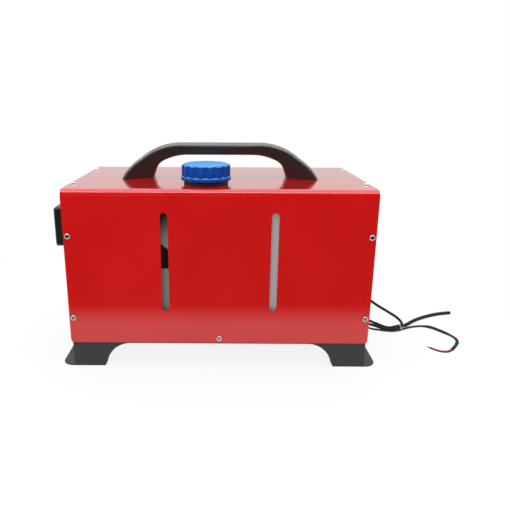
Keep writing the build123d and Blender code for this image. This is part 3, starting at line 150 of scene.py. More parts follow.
def share_between(tree, source, low, high, smooth=True):
    """0 at low and 1 at high, clamped; low may be the larger of the two."""
    node = tree.nodes.new("ShaderNodeMapRange")
    if smooth:
        node.interpolation_type = "SMOOTHSTEP"
    node.inputs["From Min"].default_value = low
    node.inputs["From Max"].default_value = high
    tree.links.new(source, node.inputs["Value"])
    return node.outputs["Result"]


def bump(tree, shader, height, distance):
    """A bump of that depth in metres on the shader's normal."""
    node = tree.nodes.new("ShaderNodeBump")
    node.inputs["Distance"].default_value = distance
    node.inputs["Strength"].default_value = 1.0
    tree.links.new(height, node.inputs["Height"])
    tree.links.new(node.outputs["Normal"], shader.inputs["Normal"])


def math_node(tree, operation, first, second):
    """An operation on two values, each a number or a socket, clamped to 0 to 1."""
    node = tree.nodes.new("ShaderNodeMath")
    node.operation = operation
    node.use_clamp = True
    for socket, value in zip(node.inputs, (first, second)):
        if isinstance(value, float):
            socket.default_value = value
        else:
            tree.links.new(value, socket)
    return node.outputs["Value"]


def mix_colour(tree, factor, first, second):
    """One colour mixed into another, each a colour or a socket."""
    node = tree.nodes.new("ShaderNodeMix")
    node.data_type = "RGBA"
    tree.links.new(factor, node.inputs["Factor"])
    for socket, value in ((node.inputs["A"], first), (node.inputs["B"], second)):
        if isinstance(value, (tuple, list)):
            socket.default_value = value
        else:
            tree.links.new(value, socket)
    return node.outputs["Result"]


def plain_finish(name, colour, rough, grain_scale, grain_depth, shade=0.12, metallic=0.0, coat=0.0,
                 coat_rough=0.10, specular=0.5):
    """A finish whose colour, roughness and grain vary a little over the surface."""
    material, tree, shader = new_material(name)
    place = place_map(tree)
    cloud = noise(tree, place, grain_scale / 6)
    dark = [part * (1 - shade) for part in colour[:3]] + [1.0]
    tree.links.new(ramp(tree, cloud, 0.3, 0.7, dark, colour), shader.inputs["Base Color"])
    tree.links.new(spread(tree, cloud, rough * 0.88, rough * 1.12), shader.inputs["Roughness"])
    bump(tree, shader, noise(tree, place, grain_scale), grain_depth)
    shader.inputs["Metallic"].default_value = metallic
    shader.inputs["Coat Weight"].default_value = coat
    shader.inputs["Coat Roughness"].default_value = coat_rough
    shader.inputs["Specular IOR Level"].default_value = specular
    return material


# ---- Cords ----
aux_diameter = 4.2
sleeve_diameter = 5.7
sleeve_start_x = 299.0
sleeve_lip = 0.35
sleeve_tip = 1.5
sleeve_step = 1.5
power_width = 5.0
power_thickness = 1.9
twin_groove = 0.62
twin_steps = 10
twin_arc = 160.0
power_rolls = [(324.0, 0.0), (338.0, 38.0), (350.0, 34.0), (361.0, 0.0)]
power_turn_x = 361.0
power_turn_y = -22.0
core_diameter = 1.9
tip_diameter = 1.1
tip_length = 5.0
tip_strands = 7
tip_steps = 6
tip_twist = 1.2
strand_radius = 0.19

# Heights of the cords' middle lines over the floor
aux_lie = 2.15
aux_tied = 2.80
sleeve_lie = 2.90
power_lie = 1.05
power_leaning = 2.40
power_tied = 1.75
core_lie = 1.0

# Routes, given point by point: each starts inside the right end panel
aux_route = [
    (205, 25, 60), (219, 25, 60), (235, 25.5, 47.5), (252, 26.5, 34.5), (268, 28.5, 24.5),
    (280, 31.5, 16.5), (289.8, 35.6, 9.6), (296, 31.6, 4.4), (297, 24.3, aux_lie),
    (293, 17.9, aux_tied), (286, 13.9, aux_tied), (279, 10.6, aux_tied), (271.8, 8.4, aux_lie),
    (265, 11.2, aux_lie), (260.3, 17.6, aux_lie), (255.3, 24.5, aux_lie), (249.8, 31.8, aux_lie),
    (245.2, 40.5, aux_lie), (239.2, 48.3, aux_lie), (229.5, 51.3, aux_lie), (220.3, 47.3, aux_lie),
    (216.9, 38, aux_lie), (219.5, 28.8, aux_lie), (228, 23.6, aux_lie), (238, 24.8, aux_lie),
    (247, 20, aux_lie), (255.5, 10.6, aux_lie), (262.5, 3.8, aux_lie), (270.5, 1.6, aux_lie),
    (279, 3.4, aux_tied), (287, 8.4, aux_tied), (295, 13.8, aux_tied), (304, 21, sleeve_lie),
    (315, 31.8, sleeve_lie), (328.5, 42.8, sleeve_lie), (345, 53.3, sleeve_lie),
    (363, 62.2, sleeve_lie), (378, 67.6, sleeve_lie), (393, 70.4, sleeve_lie)]
power_route = [
    (205, -6, 60), (214, -6, 60), (221.5, -5.7, 56), (225.7, -4.8, 48.5), (226.8, -3.4, 39),
    (226.6, -1.4, 29), (227, 1, 19.3), (229.6, 3.6, 10.8), (235.5, 5.4, 4), (243.5, 5.6, power_lie),
    (252.5, 3.2, power_lie), (262, -0.8, power_lie), (271.5, -2.3, power_lie),
    (281, -1.4, power_tied), (290, 3.4, power_tied), (301, 10.2, power_tied), (314, 16.4, power_lie),
    (327, 18.4, power_lie), (338, 11.6, power_leaning), (349, -4.6, power_leaning),
    (361, -20.5, power_lie), (361.8, -36, power_lie), (353, -52, power_lie),
    (339.5, -67.8, power_lie)]
red_core_route = [(338.6, -67.3, core_lie), (333, -71.6, core_lie), (323.8, -71.2, core_lie),
                  (316.6, -66.4, core_lie), (311.6, -59.6, core_lie)]
black_core_route = [(340.1, -68.6, core_lie), (333.5, -74.8, core_lie), (323.5, -74.3, core_lie),
                    (316, -69, core_lie), (310.4, -61.6, core_lie)]

# The tie's strap turns round these corners, given as Y, Z and the angle where each turn starts
tie_x = 288.0
tie_half = 0.45
tie_sheet = 0.45
tie_bend = 1.3
tie_steps = 6
tie_corners = [(11.0, 4.4, 0.0), (0.6, 3.2, 90.0), (0.6, 1.85, 180.0), (11.0, 1.85, 270.0)]
tie_lock_y = 11.2
tie_lock_z = 5.9
tie_lock_corners = [(-1.1, -0.9), (1.1, -0.9), (1.1, 0.9), (-1.1, 0.9)]
tie_lock_rows = [(0.85, 0.0), (1.0, 0.2), (1.0, 0.9), (0.8, 1.1)]

# ---- Strain reliefs ----
relief_start_x = 198.35
relief_reach = 21.0
relief_ribs = 4
relief_sides = 28
relief_wall = 2.0
relief_thinning = 1.5
relief_notch = 0.55

# ---- Places and sizes of the case, as the solids have them ----
case_depth = 239.0
case_top = 243.0
case_end = 199.5
screw_x = 194.5
screw_high_z = 183.0
screw_low_z = 71.0
screw_skirt_z = 42.0
screw_top_y = 71.0
end_screw_y = 60.0
bracket_screw_y = -104.0
bracket_screw_z = 221.0
filler_x = -18.5
filler_y = -64.0

# ---- Filler neck and cap ----
neck_radius = 26.0
neck_sides = 96
thread_bottom = 251.0
thread_pitch = 4.0
thread_turns = 2.1
thread_height = 1.1
thread_root = 0.2
thread_steps = 150
thread_fade_steps = 10
cap_radius = 32.5
cap_bore = 27.6
cap_ribs = 16
cap_groove_radius = 5.0
cap_groove_depth = 2.2
cap_groove_bottom = 253.5

# ---- Near-black sheet over the tank's pocket, for painted shade ----
pocket_shade_front_y = -113.6
pocket_shade_back_y = -112.6

# ---- Carry handle: lines of one half, from its middle to the foot ----
handle_top = 291.5
handle_flat_top = 56.0
crown_arc = 88.0
crown_fall = 36.0
crown_straight = 11.0
toe_x = 138.0
handle_under = 275.0
handle_flat_under = 46.0
palm_arc = 76.0
palm_fall = 27.0
heel_x = 91.5
heel_rise = 12.0
heel_end_x = 95.5
grip_half = 12.5
flare_x = 94.0
flare_turn = 38.0
flare_arc_in = 22.0
flare_straight = 13.0
flare_arc_out = 40.0
handle_round = 8.0
palm_round = 5.0
round_share = 0.45
handle_corner_steps = 8
handle_steps = 60

# ---- Lamps, world and floor: levels, and the directions or places where they change, in pairs ----
light_aim = (0, 0, 0.1)
top_power = 26.0
front_power = 14.3
world_level = 0.5
backdrop_horizon = 0.70
backdrop_zenith = 1.50
backdrop_rise = (0.25, 0.95)
softbox_level = 7.0
softbox_back = (-0.15, -0.19)
softbox_rise = (0.75, 0.85)
room_level = 0.02
room_edge = (-0.32, -0.27)
floor_grey = 0.86
floor_half = 6.0
floor_glow = 0.87
floor_fade = (0.22, 0.60)
mirrored_floor = 0.76
dark_floor_level = 0.03
dark_floor_edge = (-0.34, -0.25)


# ---- Helpers: curves and meshes ----
def route_curve(name, route, radius=0.0):
    """A smooth NURBS line with the route's points as its control points, round if radius is given."""
    curve = bpy.data.curves.new(name, "CURVE")
    curve.dimensions = "3D"
    spline = curve.splines.new("NURBS")
    spline.points.add(len(route) - 1)
    for point, (x, y, z) in zip(spline.points, route):
        point.co = (x * MM, y * MM, z * MM, 1.0)
    spline.order_u = 3
    spline.use_endpoint_u = True
    spline.resolution_u = 12
    curve.resolution_u = 12
    curve.bevel_depth = radius
    curve.bevel_resolution = 5
    curve.use_fill_caps = True
    piece = bpy.data.objects.new(name, curve)
    bpy.context.scene.collection.objects.link(piece)
    return piece


def middle_line(name, route):
    """The points along a route's smooth curve, in order."""
    guide = route_curve(name, route)
    evaluated = guide.evaluated_get(bpy.context.evaluated_depsgraph_get())
    mesh = bpy.data.meshes.new_from_object(evaluated)
    points = [vertex.co.copy() for vertex in mesh.vertices]
    bpy.data.meshes.remove(mesh)
    bpy.data.objects.remove(guide)
    return points


def piece_of(name, shape, crease=38.0):
    """An object from a finished bmesh, smooth but for edges sharper than the crease."""
    bmesh.ops.recalc_face_normals(shape, faces=shape.faces)
    mesh = bpy.data.meshes.new(name)
    for face in shape.faces:
        face.smooth = True
    shape.to_mesh(mesh)
    shape.free()
    mesh.set_sharp_from_angle(angle=math.radians(crease))
    piece = bpy.data.objects.new(name, mesh)
    bpy.context.scene.collection.objects.link(piece)
    return piece


def add_shell(shape, rings, closed=False):
    """Joins rings of points with quads; the first and last ring are capped, or joined if closed."""
    rows = [[shape.verts.new(point) for point in ring] for ring in rings]
    count = len(rows[0])
    pairs = list(zip(rows, rows[1:]))
    if closed:
        pairs.append((rows[-1], rows[0]))
    for ring, after in pairs:
        for k in range(count):
            shape.faces.new((ring[k], ring[(k + 1) % count], after[(k + 1) % count], after[k]))
    if not closed:
        shape.faces.new(rows[0][::-1])
        shape.faces.new(rows[-1])


def stand(origin, direction):
    """A matrix that puts the local Z axis along a direction, at an origin in millimetres."""
    turn = Vector(direction).to_track_quat("Z", "X").to_matrix().to_4x4()
    return Matrix.Translation(Vector(origin) * MM) @ turn


def turned_rings(profile, where, sides, reach=None):
    """Rings around the local Z axis from (radius, height) rows in millimetres.

    reach(radius, height, angle) may change the radius around a ring."""
    rings = []
    for radius, height in profile:
        ring = []
        for k in range(sides):
            angle = 2 * math.pi * k / sides
            r = reach(radius, height, angle) if reach else radius
            ring.append(where @ (Vector((r * math.cos(angle), r * math.sin(angle), height)) * MM))
        rings.append(ring)
    return rings


def frames_along(points, across=Vector((0, -1, 0))):
    """Each point's distance from the start, its place, and its sideways and upward directions."""
    frames = []
    distance = 0.0
    for index, point in enumerate(points):
        after = points[min(index + 1, len(points) - 1)]
        before = points[max(index - 1, 0)]
        ahead = (after - before).normalized()
        level = ahead.cross(UP)
        if level.length > 0.7:
            across = level.normalized()
        across = (across - across.dot(ahead) * ahead).normalized()
        if index:
            distance += (point - points[index - 1]).length
        frames.append((distance, point, across, across.cross(ahead)))
    return frames


def frame_at(frames, distance):
    """The frame at a distance in metres along a line, between its neighbours."""
    for before, after in zip(frames, frames[1:]):
        if after[0] >= distance:
            share = (distance - before[0]) / (after[0] - before[0])
            return [low.lerp(high, share) for low, high in zip(before[1:], after[1:])]
    return list(frames[-1][1:])


def oval_section(half_width, half_height, sides):
    """Points round an ellipse, or round a circle if both halves are the same."""
    turns = [2 * math.pi * k / sides for k in range(sides)]
    return [(half_width * math.cos(turn), half_height * math.sin(turn)) for turn in turns]


def add_run(shape, frames, rows):
    """A capped tube along a line: rows of (distance in millimetres, section)."""
    rings = []
    for distance, section in rows:
        place, across, over = frame_at(frames, distance * MM)
        rings.append([place + across * u * MM + over * v * MM for u, v in section])
    add_shell(shape, rings)


def add_even_run(shape, frames, section):
    """A capped tube with the same section at each of the line's own points."""
    add_run(shape, frames, [(entry[0] / MM, section) for entry in frames])


# ---- Finishes: colour, roughness, grain in waves per metre, grain depth in metres, shade, metal, coat,
# ---- the coat's roughness and the specular level ----
finish_table = {
    "base_paint": (srgb(46, 46, 45), 0.42, 1500.0, 0.000012, 0.10, 0.0, 0.0),
    "zinc_steel": (srgb(248, 248, 250), 0.32, 1600.0, 0.000006, 0.10, 1.0, 0.0),
    # The next finish's dark red tint is a painted reflection of the red cover in black rubber.
    "black_rubber": (srgb(58, 32, 30), 0.60, 900.0, 0.000030, 0.15, 0.0, 0.0),
    "strap_steel": (srgb(150, 152, 155), 0.38, 1200.0, 0.000010, 0.12, 1.0, 0.0),
    "heater_plastic": (srgb(38, 38, 40), 0.52, 900.0, 0.000030, 0.12, 0.0, 0.0),
    "cast_aluminium": (srgb(168, 168, 166), 0.52, 420.0, 0.000090, 0.18, 0.9, 0.0),
    "heater_steel": (srgb(148, 146, 142), 0.36, 700.0, 0.000012, 0.16, 1.0, 0.0),
    "motor_steel": (srgb(160, 160, 164), 0.32, 1200.0, 0.000008, 0.10, 1.0, 0.0),
    "fan_plastic": (srgb(34, 34, 36), 0.48, 900.0, 0.000015, 0.10, 0.0, 0.0),
    "board_case": (srgb(30, 30, 32), 0.45, 1000.0, 0.000018, 0.10, 0.0, 0.0),
    "gasket_fibre": (srgb(122, 112, 98), 0.85, 1400.0, 0.000060, 0.22, 0.0, 0.0),
    "brass": (srgb(198, 160, 88), 0.30, 900.0, 0.000006, 0.12, 1.0, 0.0),
    "controller_plastic": (srgb(30, 31, 30), 0.40, 1300.0, 0.000016, 0.10, 0.0, 0.0),
    "key_rubber": (srgb(66, 68, 70), 0.55, 1200.0, 0.000014, 0.10, 0.0, 0.0),
    "hose_rubber": (srgb(28, 28, 28), 0.55, 900.0, 0.000030, 0.12, 0.0, 0.0),
    "filter_plastic": (srgb(196, 200, 196), 0.30, 600.0, 0.000008, 0.08, 0.0, 0.2),
    "line_nylon": (srgb(206, 198, 176), 0.34, 700.0, 0.000008, 0.08, 0.0, 0.0),
    "cord_black": (srgb(43, 45, 44), 0.66, 1400.0, 0.000020, 0.12, 0.0, 0.0, 0.1, 0.16),
    "core_red": (srgb(196, 34, 30), 0.42, 1400.0, 0.000012, 0.10, 0.0, 0.0),
    "core_black": (srgb(30, 30, 31), 0.42, 1400.0, 0.000012, 0.10, 0.0, 0.0),
    "tinned_copper": (srgb(214, 208, 198), 0.34, 1800.0, 0.000010, 0.14, 1.0, 0.0),
    "tie_plastic": (srgb(222, 222, 216), 0.44, 1600.0, 0.000012, 0.10, 0.0, 0.0),
    # The next finish is painted shade for the screws' hex recesses.
    "socket_painted_shade": (srgb(38, 38, 40), 0.52, 900.0, 0.000030, 0.12, 0.5, 0.0),
    # The next finish is painted shade for the tank's pocket.
    "pocket_painted_shade": (srgb(16, 9, 9), 0.90, 700.0, 0.000080, 0.12, 0.0, 0.0),
}
finishes = {slot: plain_finish(slot, *values) for slot, values in finish_table.items()}


def cover_paint():
    """Glossy red powder coat: a fine orange peel under a clear, smooth coat."""
    peel_scale = 620.0
    peel_depth = 0.000007
    material, tree, shader = new_material("cover_paint")
    place = place_map(tree)
    cloud = noise(tree, place, 14.0)
    red = ramp(tree, cloud, 0.25, 0.75, srgb(190, 8, 6), srgb(199, 10, 8))
    tree.links.new(red, shader.inputs["Base Color"])
    tree.links.new(spread(tree, cloud, 0.13, 0.18), shader.inputs["Roughness"])
    bump(tree, shader, noise(tree, place, peel_scale), peel_depth)
    shader.inputs["Specular IOR Level"].default_value = 0.5
    shader.inputs["Coat Weight"].default_value = 1.0
    shader.inputs["Coat Roughness"].default_value = 0.05
    return material


def tank_plastic():
    """Natural polyethylene: pale and waxy, with painted shade: darker to the left, and darkest on its
    front's upper left.
    """
    painted_shade_x = (-0.075, 0.070)
    shade_corner_x = (0.030, -0.050)
    shade_corner_y = (-0.100, -0.106)
    shade_corner_z = (0.172, 0.208)
    material, tree, shader = new_material("tank_plastic")
    place = place_map(tree)
    axes = axes_of(tree, place)
    # Painted shade: the colour darkens towards the left, and towards a near-black grey on the front's
    # upper left.
    along = share_between(tree, axes["X"], *painted_shade_x, smooth=False)
    body = ramp(tree, along, 0.0, 1.0, srgb(128, 128, 125), srgb(188, 190, 191))
    painted_shade_upper_left = math_node(tree, "MULTIPLY", share_between(tree, axes["Z"], *shade_corner_z),
                           share_between(tree, axes["X"], *shade_corner_x))
    painted_shade_share = math_node(tree, "MULTIPLY", painted_shade_upper_left, share_between(tree, axes["Y"], *shade_corner_y))
    tree.links.new(mix_colour(tree, painted_shade_share, body, srgb(58, 54, 53)), shader.inputs["Base Color"])
    tree.links.new(spread(tree, noise(tree, place, 60.0), 0.34, 0.46), shader.inputs["Roughness"])
    bump(tree, shader, noise(tree, place, 240.0), 0.000060)
    shader.inputs["Subsurface Weight"].default_value = 0.15
    shader.inputs["Subsurface Scale"].default_value = 0.004
    return material


def plastic_with_painted_sheen(name, deep_low, deep_high, pale, sheen_from, sheen_full, rough, grain_scale, specular):
    """Moulded plastic: deep on its sides, with a painted sheen: faces that look up take a paler colour,
    which stands in for the light they catch.
    """
    material, tree, shader = new_material(name)
    place = place_map(tree)
    facing = axes_of(tree, tree.nodes.new("ShaderNodeNewGeometry").outputs["Normal"])
    # Painted sheen: faces that look up take the paler colour.
    top = share_between(tree, facing["Z"], sheen_from, sheen_full)
    cloud = noise(tree, place, 160.0)
    deep = ramp(tree, cloud, 0.3, 0.7, deep_low, deep_high)
    tree.links.new(mix_colour(tree, top, deep, pale), shader.inputs["Base Color"])
    tree.links.new(spread(tree, cloud, rough * 0.88, rough * 1.12), shader.inputs["Roughness"])
    bump(tree, shader, noise(tree, place, grain_scale), 0.000012)
    shader.inputs["Specular IOR Level"].default_value = specular
    return material


def screen_glass():
    """A dark display window under a clear, polished face."""
    material, tree, shader = new_material("screen_glass")
    cloud = noise(tree, place_map(tree), 30.0)
    dark = ramp(tree, cloud, 0.3, 0.7, srgb(10, 13, 16), srgb(16, 20, 24))
    tree.links.new(dark, shader.inputs["Base Color"])
    tree.links.new(spread(tree, cloud, 0.06, 0.12), shader.inputs["Roughness"])
    shader.inputs["Coat Weight"].default_value = 1.0
    shader.inputs["Coat Roughness"].default_value = 0.03
    return material


def circuit_board():
    """Green solder mask with paler copper tracks under it."""
    material, tree, shader = new_material("circuit_board")
    place = place_map(tree)
    tracks = tree.nodes.new("ShaderNodeTexVoronoi")
    tracks.feature = "DISTANCE_TO_EDGE"
    tracks.inputs["Scale"].default_value = 220.0
    tree.links.new(place, tracks.inputs["Vector"])
    mask = ramp(tree, tracks.outputs["Distance"], 0.03, 0.09, srgb(46, 120, 66), srgb(14, 66, 34))
    tree.links.new(mask, shader.inputs["Base Color"])
    tree.links.new(spread(tree, noise(tree, place, 90.0), 0.25, 0.38), shader.inputs["Roughness"])
    bump(tree, shader, tracks.outputs["Distance"], 0.000040)
    return material


finishes["cover_paint"] = cover_paint()
# The cap's and the handle's paler upward faces are a painted sheen.
finishes["cap_plastic"] = plastic_with_painted_sheen("cap_plastic", srgb(1, 60, 150), srgb(2, 68, 164),
                                       srgb(78, 152, 212), 0.25, 0.98, 0.32, 1000.0, 0.25)
finishes["handle_plastic"] = plastic_with_painted_sheen("handle_plastic", srgb(36, 35, 34), srgb(42, 40, 39),
                                          srgb(86, 87, 84), 0.20, 0.80, 0.36, 1100.0, 1.00)
finishes["tank_plastic"] = tank_plastic()
finishes["screen_glass"] = screen_glass()
finishes["circuit_board"] = circuit_board()

for part in frame["record"]["subparts"]:
    node_mesh = frame["nodes"][part["node"]].data
    node_mesh.materials.clear()
    node_mesh.materials.append(finishes[part["material_slot"]])


def dress(piece, slot, body="case", finish=None):
    """Gives a piece the slot's finish, or the named finish instead, and its body."""
    piece.data.materials.clear()
    piece.data.materials.append(finishes[finish or slot])
    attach(piece, body)
    return piece


# ---- Cord tie ----
def make_tie():
    """A thin strap pulled round the cords, with its small lock on top."""
    band = ((tie_bend, -1), (tie_bend, 1), (tie_bend + tie_sheet, 1), (tie_bend + tie_sheet, -1))
    strap_rings = []
    for corner_y, corner_z, start in tie_corners:
        centre = Vector((tie_x, corner_y, corner_z))
        for step in range(tie_steps + 1):
            angle = math.radians(start + 90 * step / tie_steps)
            out = Vector((0.0, math.cos(angle), math.sin(angle)))
            strap_rings.append([(centre + out * radius + Vector((side * tie_half, 0, 0))) * MM
                                for radius, side in band])
    lock_rings = [[Vector((tie_x + u * grow, tie_lock_y + v * grow, tie_lock_z + rise)) * MM
                   for u, v in tie_lock_corners]
                  for grow, rise in tie_lock_rows]
    shape = bmesh.new()
    add_shell(shape, strap_rings, closed=True)
    add_shell(shape, lock_rings)
    tie = dress(piece_of("tie_strap", shape, 40.0), "tie_plastic")
    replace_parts(tie, "cord_tie")
    return tie


# ---- Round lead and the sleeve on its end ----
def make_sleeve(points):
    """A thicker sleeve from the tie on, which ends in a closed, rounded tip."""
    first = max(index for index, point in enumerate(points) if point.x < sleeve_start_x * MM)
    frames = frames_along(points[first:])
    length = frames[-1][0] / MM
    radius = sleeve_diameter / 2
    rows = [(0.0, radius - sleeve_lip), (0.4, radius)]
    rows += [(step * sleeve_step, radius) for step in range(1, int((length - sleeve_tip) / sleeve_step))]
    for degrees in (0, 25, 50, 75, 90):
        turn = math.radians(degrees)
        rows.append((length - sleeve_tip * (1 - math.sin(turn)),
                     radius - sleeve_tip * (1 - math.cos(turn))))
    shape = bmesh.new()
    add_run(shape, frames, [(distance, oval_section(r, r, 20)) for distance, r in rows])
    sleeve = dress(piece_of("aux_lead_sleeve", shape), "cord_black")
    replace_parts(sleeve, "aux_lead_cap")
    return sleeve


def make_aux_lead(tie):
    """The round lead; gives back the points of its middle line."""
    aux_cord = dress(route_curve("aux_lead_cord", aux_route, aux_diameter / 2 * MM), "cord_black")
    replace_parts(aux_cord, "aux_lead")
    points = middle_line("aux_guide", aux_route)
    sleeve = make_sleeve(points)
    return points


# ---- Flat twin lead, its two cores and their bare tips ----
def twin_section():
    """The flat lead's outline: two round lobes with a shallow groove between them on each face."""
    lobe = power_thickness / 2
    apart = power_width / 2 - lobe
    outline = []
    for side in (1, -1):
        for step in range(twin_steps + 1):
            turn = math.radians(twin_arc * (step / twin_steps - 0.5)) + (0 if side > 0 else math.pi)
            outline.append((side * apart + lobe * math.cos(turn), lobe * math.sin(turn)))
        outline.append((0.0, side * lobe * twin_groove))
    return outline


def power_roll(point):
    """The flat lead's roll at a point of its middle line: it leans on one edge in its last bend."""
    roll = 0.0
    for (start, low_roll), (stop, high_roll) in zip(power_rolls, power_rolls[1:]):
        in_bend = point.x < power_turn_x * MM and point.y > power_turn_y * MM
        if start <= point.x / MM <= stop and in_bend:
            share = (point.x / MM - start) / (stop - start)
            roll = math.radians(low_roll + (high_roll - low_roll) * share * share * (3 - 2 * share))
    return roll


def make_tips():
    """Twisted bare strands at the end of each core."""
    shape = bmesh.new()
    for core_route in (red_core_route, black_core_route):
        before, end = Vector(core_route[-2]), Vector(core_route[-1])
        ahead = (end - before).normalized()
        side = ahead.cross(UP).normalized()
        up = side.cross(ahead)
        for strand in range(tip_strands):
            radius = 0.0 if strand == 0 else tip_diameter / 2 - strand_radius
            wire = []
            for step in range(tip_steps + 1):
                angle = 2 * math.pi * strand / (tip_strands - 1) + tip_twist * step / tip_steps
                off = (side * math.cos(angle) + up * math.sin(angle)) * radius
                wire.append((end + ahead * (tip_length * step / tip_steps) + off) * MM)
            add_even_run(shape, frames_along(wire), oval_section(strand_radius, strand_radius, 8))
    return dress(piece_of("tip_strands", shape), "tinned_copper")


def make_power_lead():
    """The flat lead with its cores and tips; gives back the points of its middle line."""
    power_points = middle_line("power_guide", power_route)
    frames = []
    for distance, point, across, over in frames_along(power_points):
        roll = power_roll(point)
        leaning = across * math.cos(roll) - over * math.sin(roll)
        frames.append((distance, point, leaning, over * math.cos(roll) + across * math.sin(roll)))
    shape = bmesh.new()
    add_even_run(shape, frames, twin_section())
    power_cord = dress(piece_of("power_lead_cord", shape, 75.0), "cord_black")
    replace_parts(power_cord, "power_lead")
    red_core = dress(route_curve("red_core", red_core_route, core_diameter / 2 * MM), "core_red")
    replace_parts(red_core, "lead_core_red")
    black_core = dress(route_curve("black_core", black_core_route, core_diameter / 2 * MM), "core_black")
    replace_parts(black_core, "lead_core_black")
    tips = make_tips()
    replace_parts(tips, "bare_tips")
    return power_points


# ---- Strain reliefs at the right end ----
def relief_rows(half_width, half_height):
    """Sections from inside the panel out: a flange, then a ribbed taper that ends on the cord."""
    rows = [(0.0, 5.8, 5.8), (1.25, 5.8, 5.8), (1.25, 8.5, 8.5), (2.3, 8.5, 8.5), (2.7, 8.1, 8.1)]
    rows.append((2.75, half_width + relief_wall, half_height + relief_wall))
    for rib in range(relief_ribs):
        start = 4.0 + rib * (relief_reach - 5.0) / relief_ribs
        wall = relief_wall - relief_thinning * rib / relief_ribs
        u, v = half_width + wall, half_height + wall
        rows += [(start, u, v), (start + 1.6, u, v)]
        rows += [(start + along, u - relief_notch, v - relief_notch) for along in (1.9, 2.5)]
    rows.append((relief_reach, half_width + 0.35, half_height + 0.35))
    return rows


def make_reliefs(aux_points, power_points):
    """A rubber relief around each cord where it leaves the panel."""
    shape = bmesh.new()
    for points, half_width, half_height in ((aux_points, aux_diameter / 2, aux_diameter / 2),
                                            (power_points, power_width / 2, power_thickness / 2)):
        line = [Vector((relief_start_x * MM, points[0].y, points[0].z)), *points]
        rows = relief_rows(half_width, half_height)
        add_run(shape, frames_along(line),
                [(distance, oval_section(u, v, relief_sides)) for distance, u, v in rows])
    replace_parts(dress(piece_of("strain_reliefs", shape), "black_rubber"), "cable_grommets")


# ---- Screws: button heads with hex sockets, where a profile's negative radius is half a hexagon ----
screw_profile = [(1.9, -4.0), (1.9, 0.0), (3.8, 0.0), (3.8, 0.35), (3.68, 0.8), (3.35, 1.3),
                 (2.85, 1.75), (2.3, 2.05), (1.95, 2.2), (1.7, 2.2), (-1.25, 2.1), (-1.25, 0.9),
                 (-0.6, 0.7)]
# A thin dark shell inside each hex socket: painted shade in the recess.
socket_shade_profile = [(-1.24, 2.14), (-1.24, 0.92), (-0.3, 0.75), (-0.3, 0.95), (-1.12, 1.05),
                  (-1.12, 2.14)]


def socket_reach(radius, height, angle):
    """A plain ring, or a hexagon where the row's radius is negative; the height makes no difference."""
    if radius >= 0:
        return radius
    return -radius / math.cos((angle + math.pi / 6) % (math.pi / 3) - math.pi / 6)


def turned_set(name, profile, places, closed=False, finish=None):
    """One piece in the zinc slot that repeats a turned profile at every place, in the zinc finish unless
    another is named.
    """
    shape = bmesh.new()
    for origin, direction in places:
        add_shell(shape, turned_rings(profile, stand(origin, direction), 24, socket_reach), closed)
    return dress(piece_of(name, shape, 32.0), "zinc_steel", finish=finish)


def make_screws():
    """The cover's and the end panels' screws, and a dark shell in their sockets: painted shade in the
    hex recesses.
    """
    corners = [(side, end) for side in (-1, 1) for end in (-1, 1)]
    faces = [(side * screw_x, z) for side in (-1, 1) for z in (screw_high_z, screw_low_z)]
    faces.append((0.0, screw_skirt_z))
    cover = [((x, side * case_depth / 2, z), (0, side, 0)) for x, z in faces for side in (-1, 1)]
    cover += [((side * screw_x, end * screw_top_y, case_top), (0, 0, 1)) for side, end in corners]
    ends = [((side * case_end, end * end_screw_y, screw_skirt_z), (side, 0, 0)) for side, end in corners]
    ends.append(((-case_end, bracket_screw_y, bracket_screw_z), (-1, 0, 0)))
    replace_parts(turned_set("cover_screw_heads", screw_profile, cover), "cover_screws")
    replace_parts(turned_set("end_screw_heads", screw_profile, ends), "end_panel_screws")
    turned_set("screw_socket_shade", socket_shade_profile, cover + ends, closed=True, finish="socket_painted_shade")


# ---- Filler: collar, thread on the neck, and the ribbed cap ----
filler = stand((filler_x, filler_y, 0.0), (0, 0, 1))
collar_profile = [(26.3, 239.8), (28.9, 239.8), (29.5, 240.2), (29.5, 241.7), (27.2, 241.75),
                  (27.2, 243.0), (29.5, 243.02), (29.5, 247.5), (29.25, 248.1), (28.6, 248.4),
                  (27.0, 248.4), (26.3, 248.1)]
cap_profile = [(0.5, 269.8), (24.4, 269.8), (25.2, 269.88), (25.9, 270.0), (26.8, 269.98),
               (28.0, 269.75), (29.0, 269.3), (29.8, 268.6), (30.2, 268.0), (31.6, 267.9),
               (32.2, 267.6), (32.5, 267.0), (32.5, 262.0), (32.5, 257.0), (32.5, 254.2),
               (32.5, 253.3), (32.7, 252.9), (33.0, 252.7), (33.25, 252.3), (33.25, 249.1),
               (33.0, 248.7), (28.0, 248.7), (27.6, 249.1), (27.6, 264.4), (27.3, 264.65),
               (0.5, 264.65)]


def make_collar():
    """The dark collar ring between the neck and the cover."""
    shape = bmesh.new()
    add_shell(shape, turned_rings(collar_profile, filler, neck_sides), closed=True)
    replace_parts(dress(piece_of("neck_collar", shape), "black_rubber"), "filler_grommet")


def make_thread():
    """A low thread round the neck, which fades in and out at its ends."""
    rings = []
    for step in range(thread_steps + 1):
        angle = 2 * math.pi * thread_turns * step / thread_steps
        height = thread_bottom + thread_pitch * thread_turns * step / thread_steps
        fade = min(1.0, step / thread_fade_steps, (thread_steps - step) / thread_fade_steps)
        root = neck_radius - thread_root
        crest = neck_radius + thread_height * fade
        spoke = Vector((math.cos(angle), math.sin(angle), 0.0))
        rings.append([filler @ ((spoke * radius + Vector((0, 0, height + lift))) * MM)
                      for radius, lift in ((root, -0.9), (crest, -0.35), (crest, 0.35), (root, 0.9))])
    shape = bmesh.new()
    add_shell(shape, rings)
    dress(piece_of("neck_thread", shape), "tank_plastic")


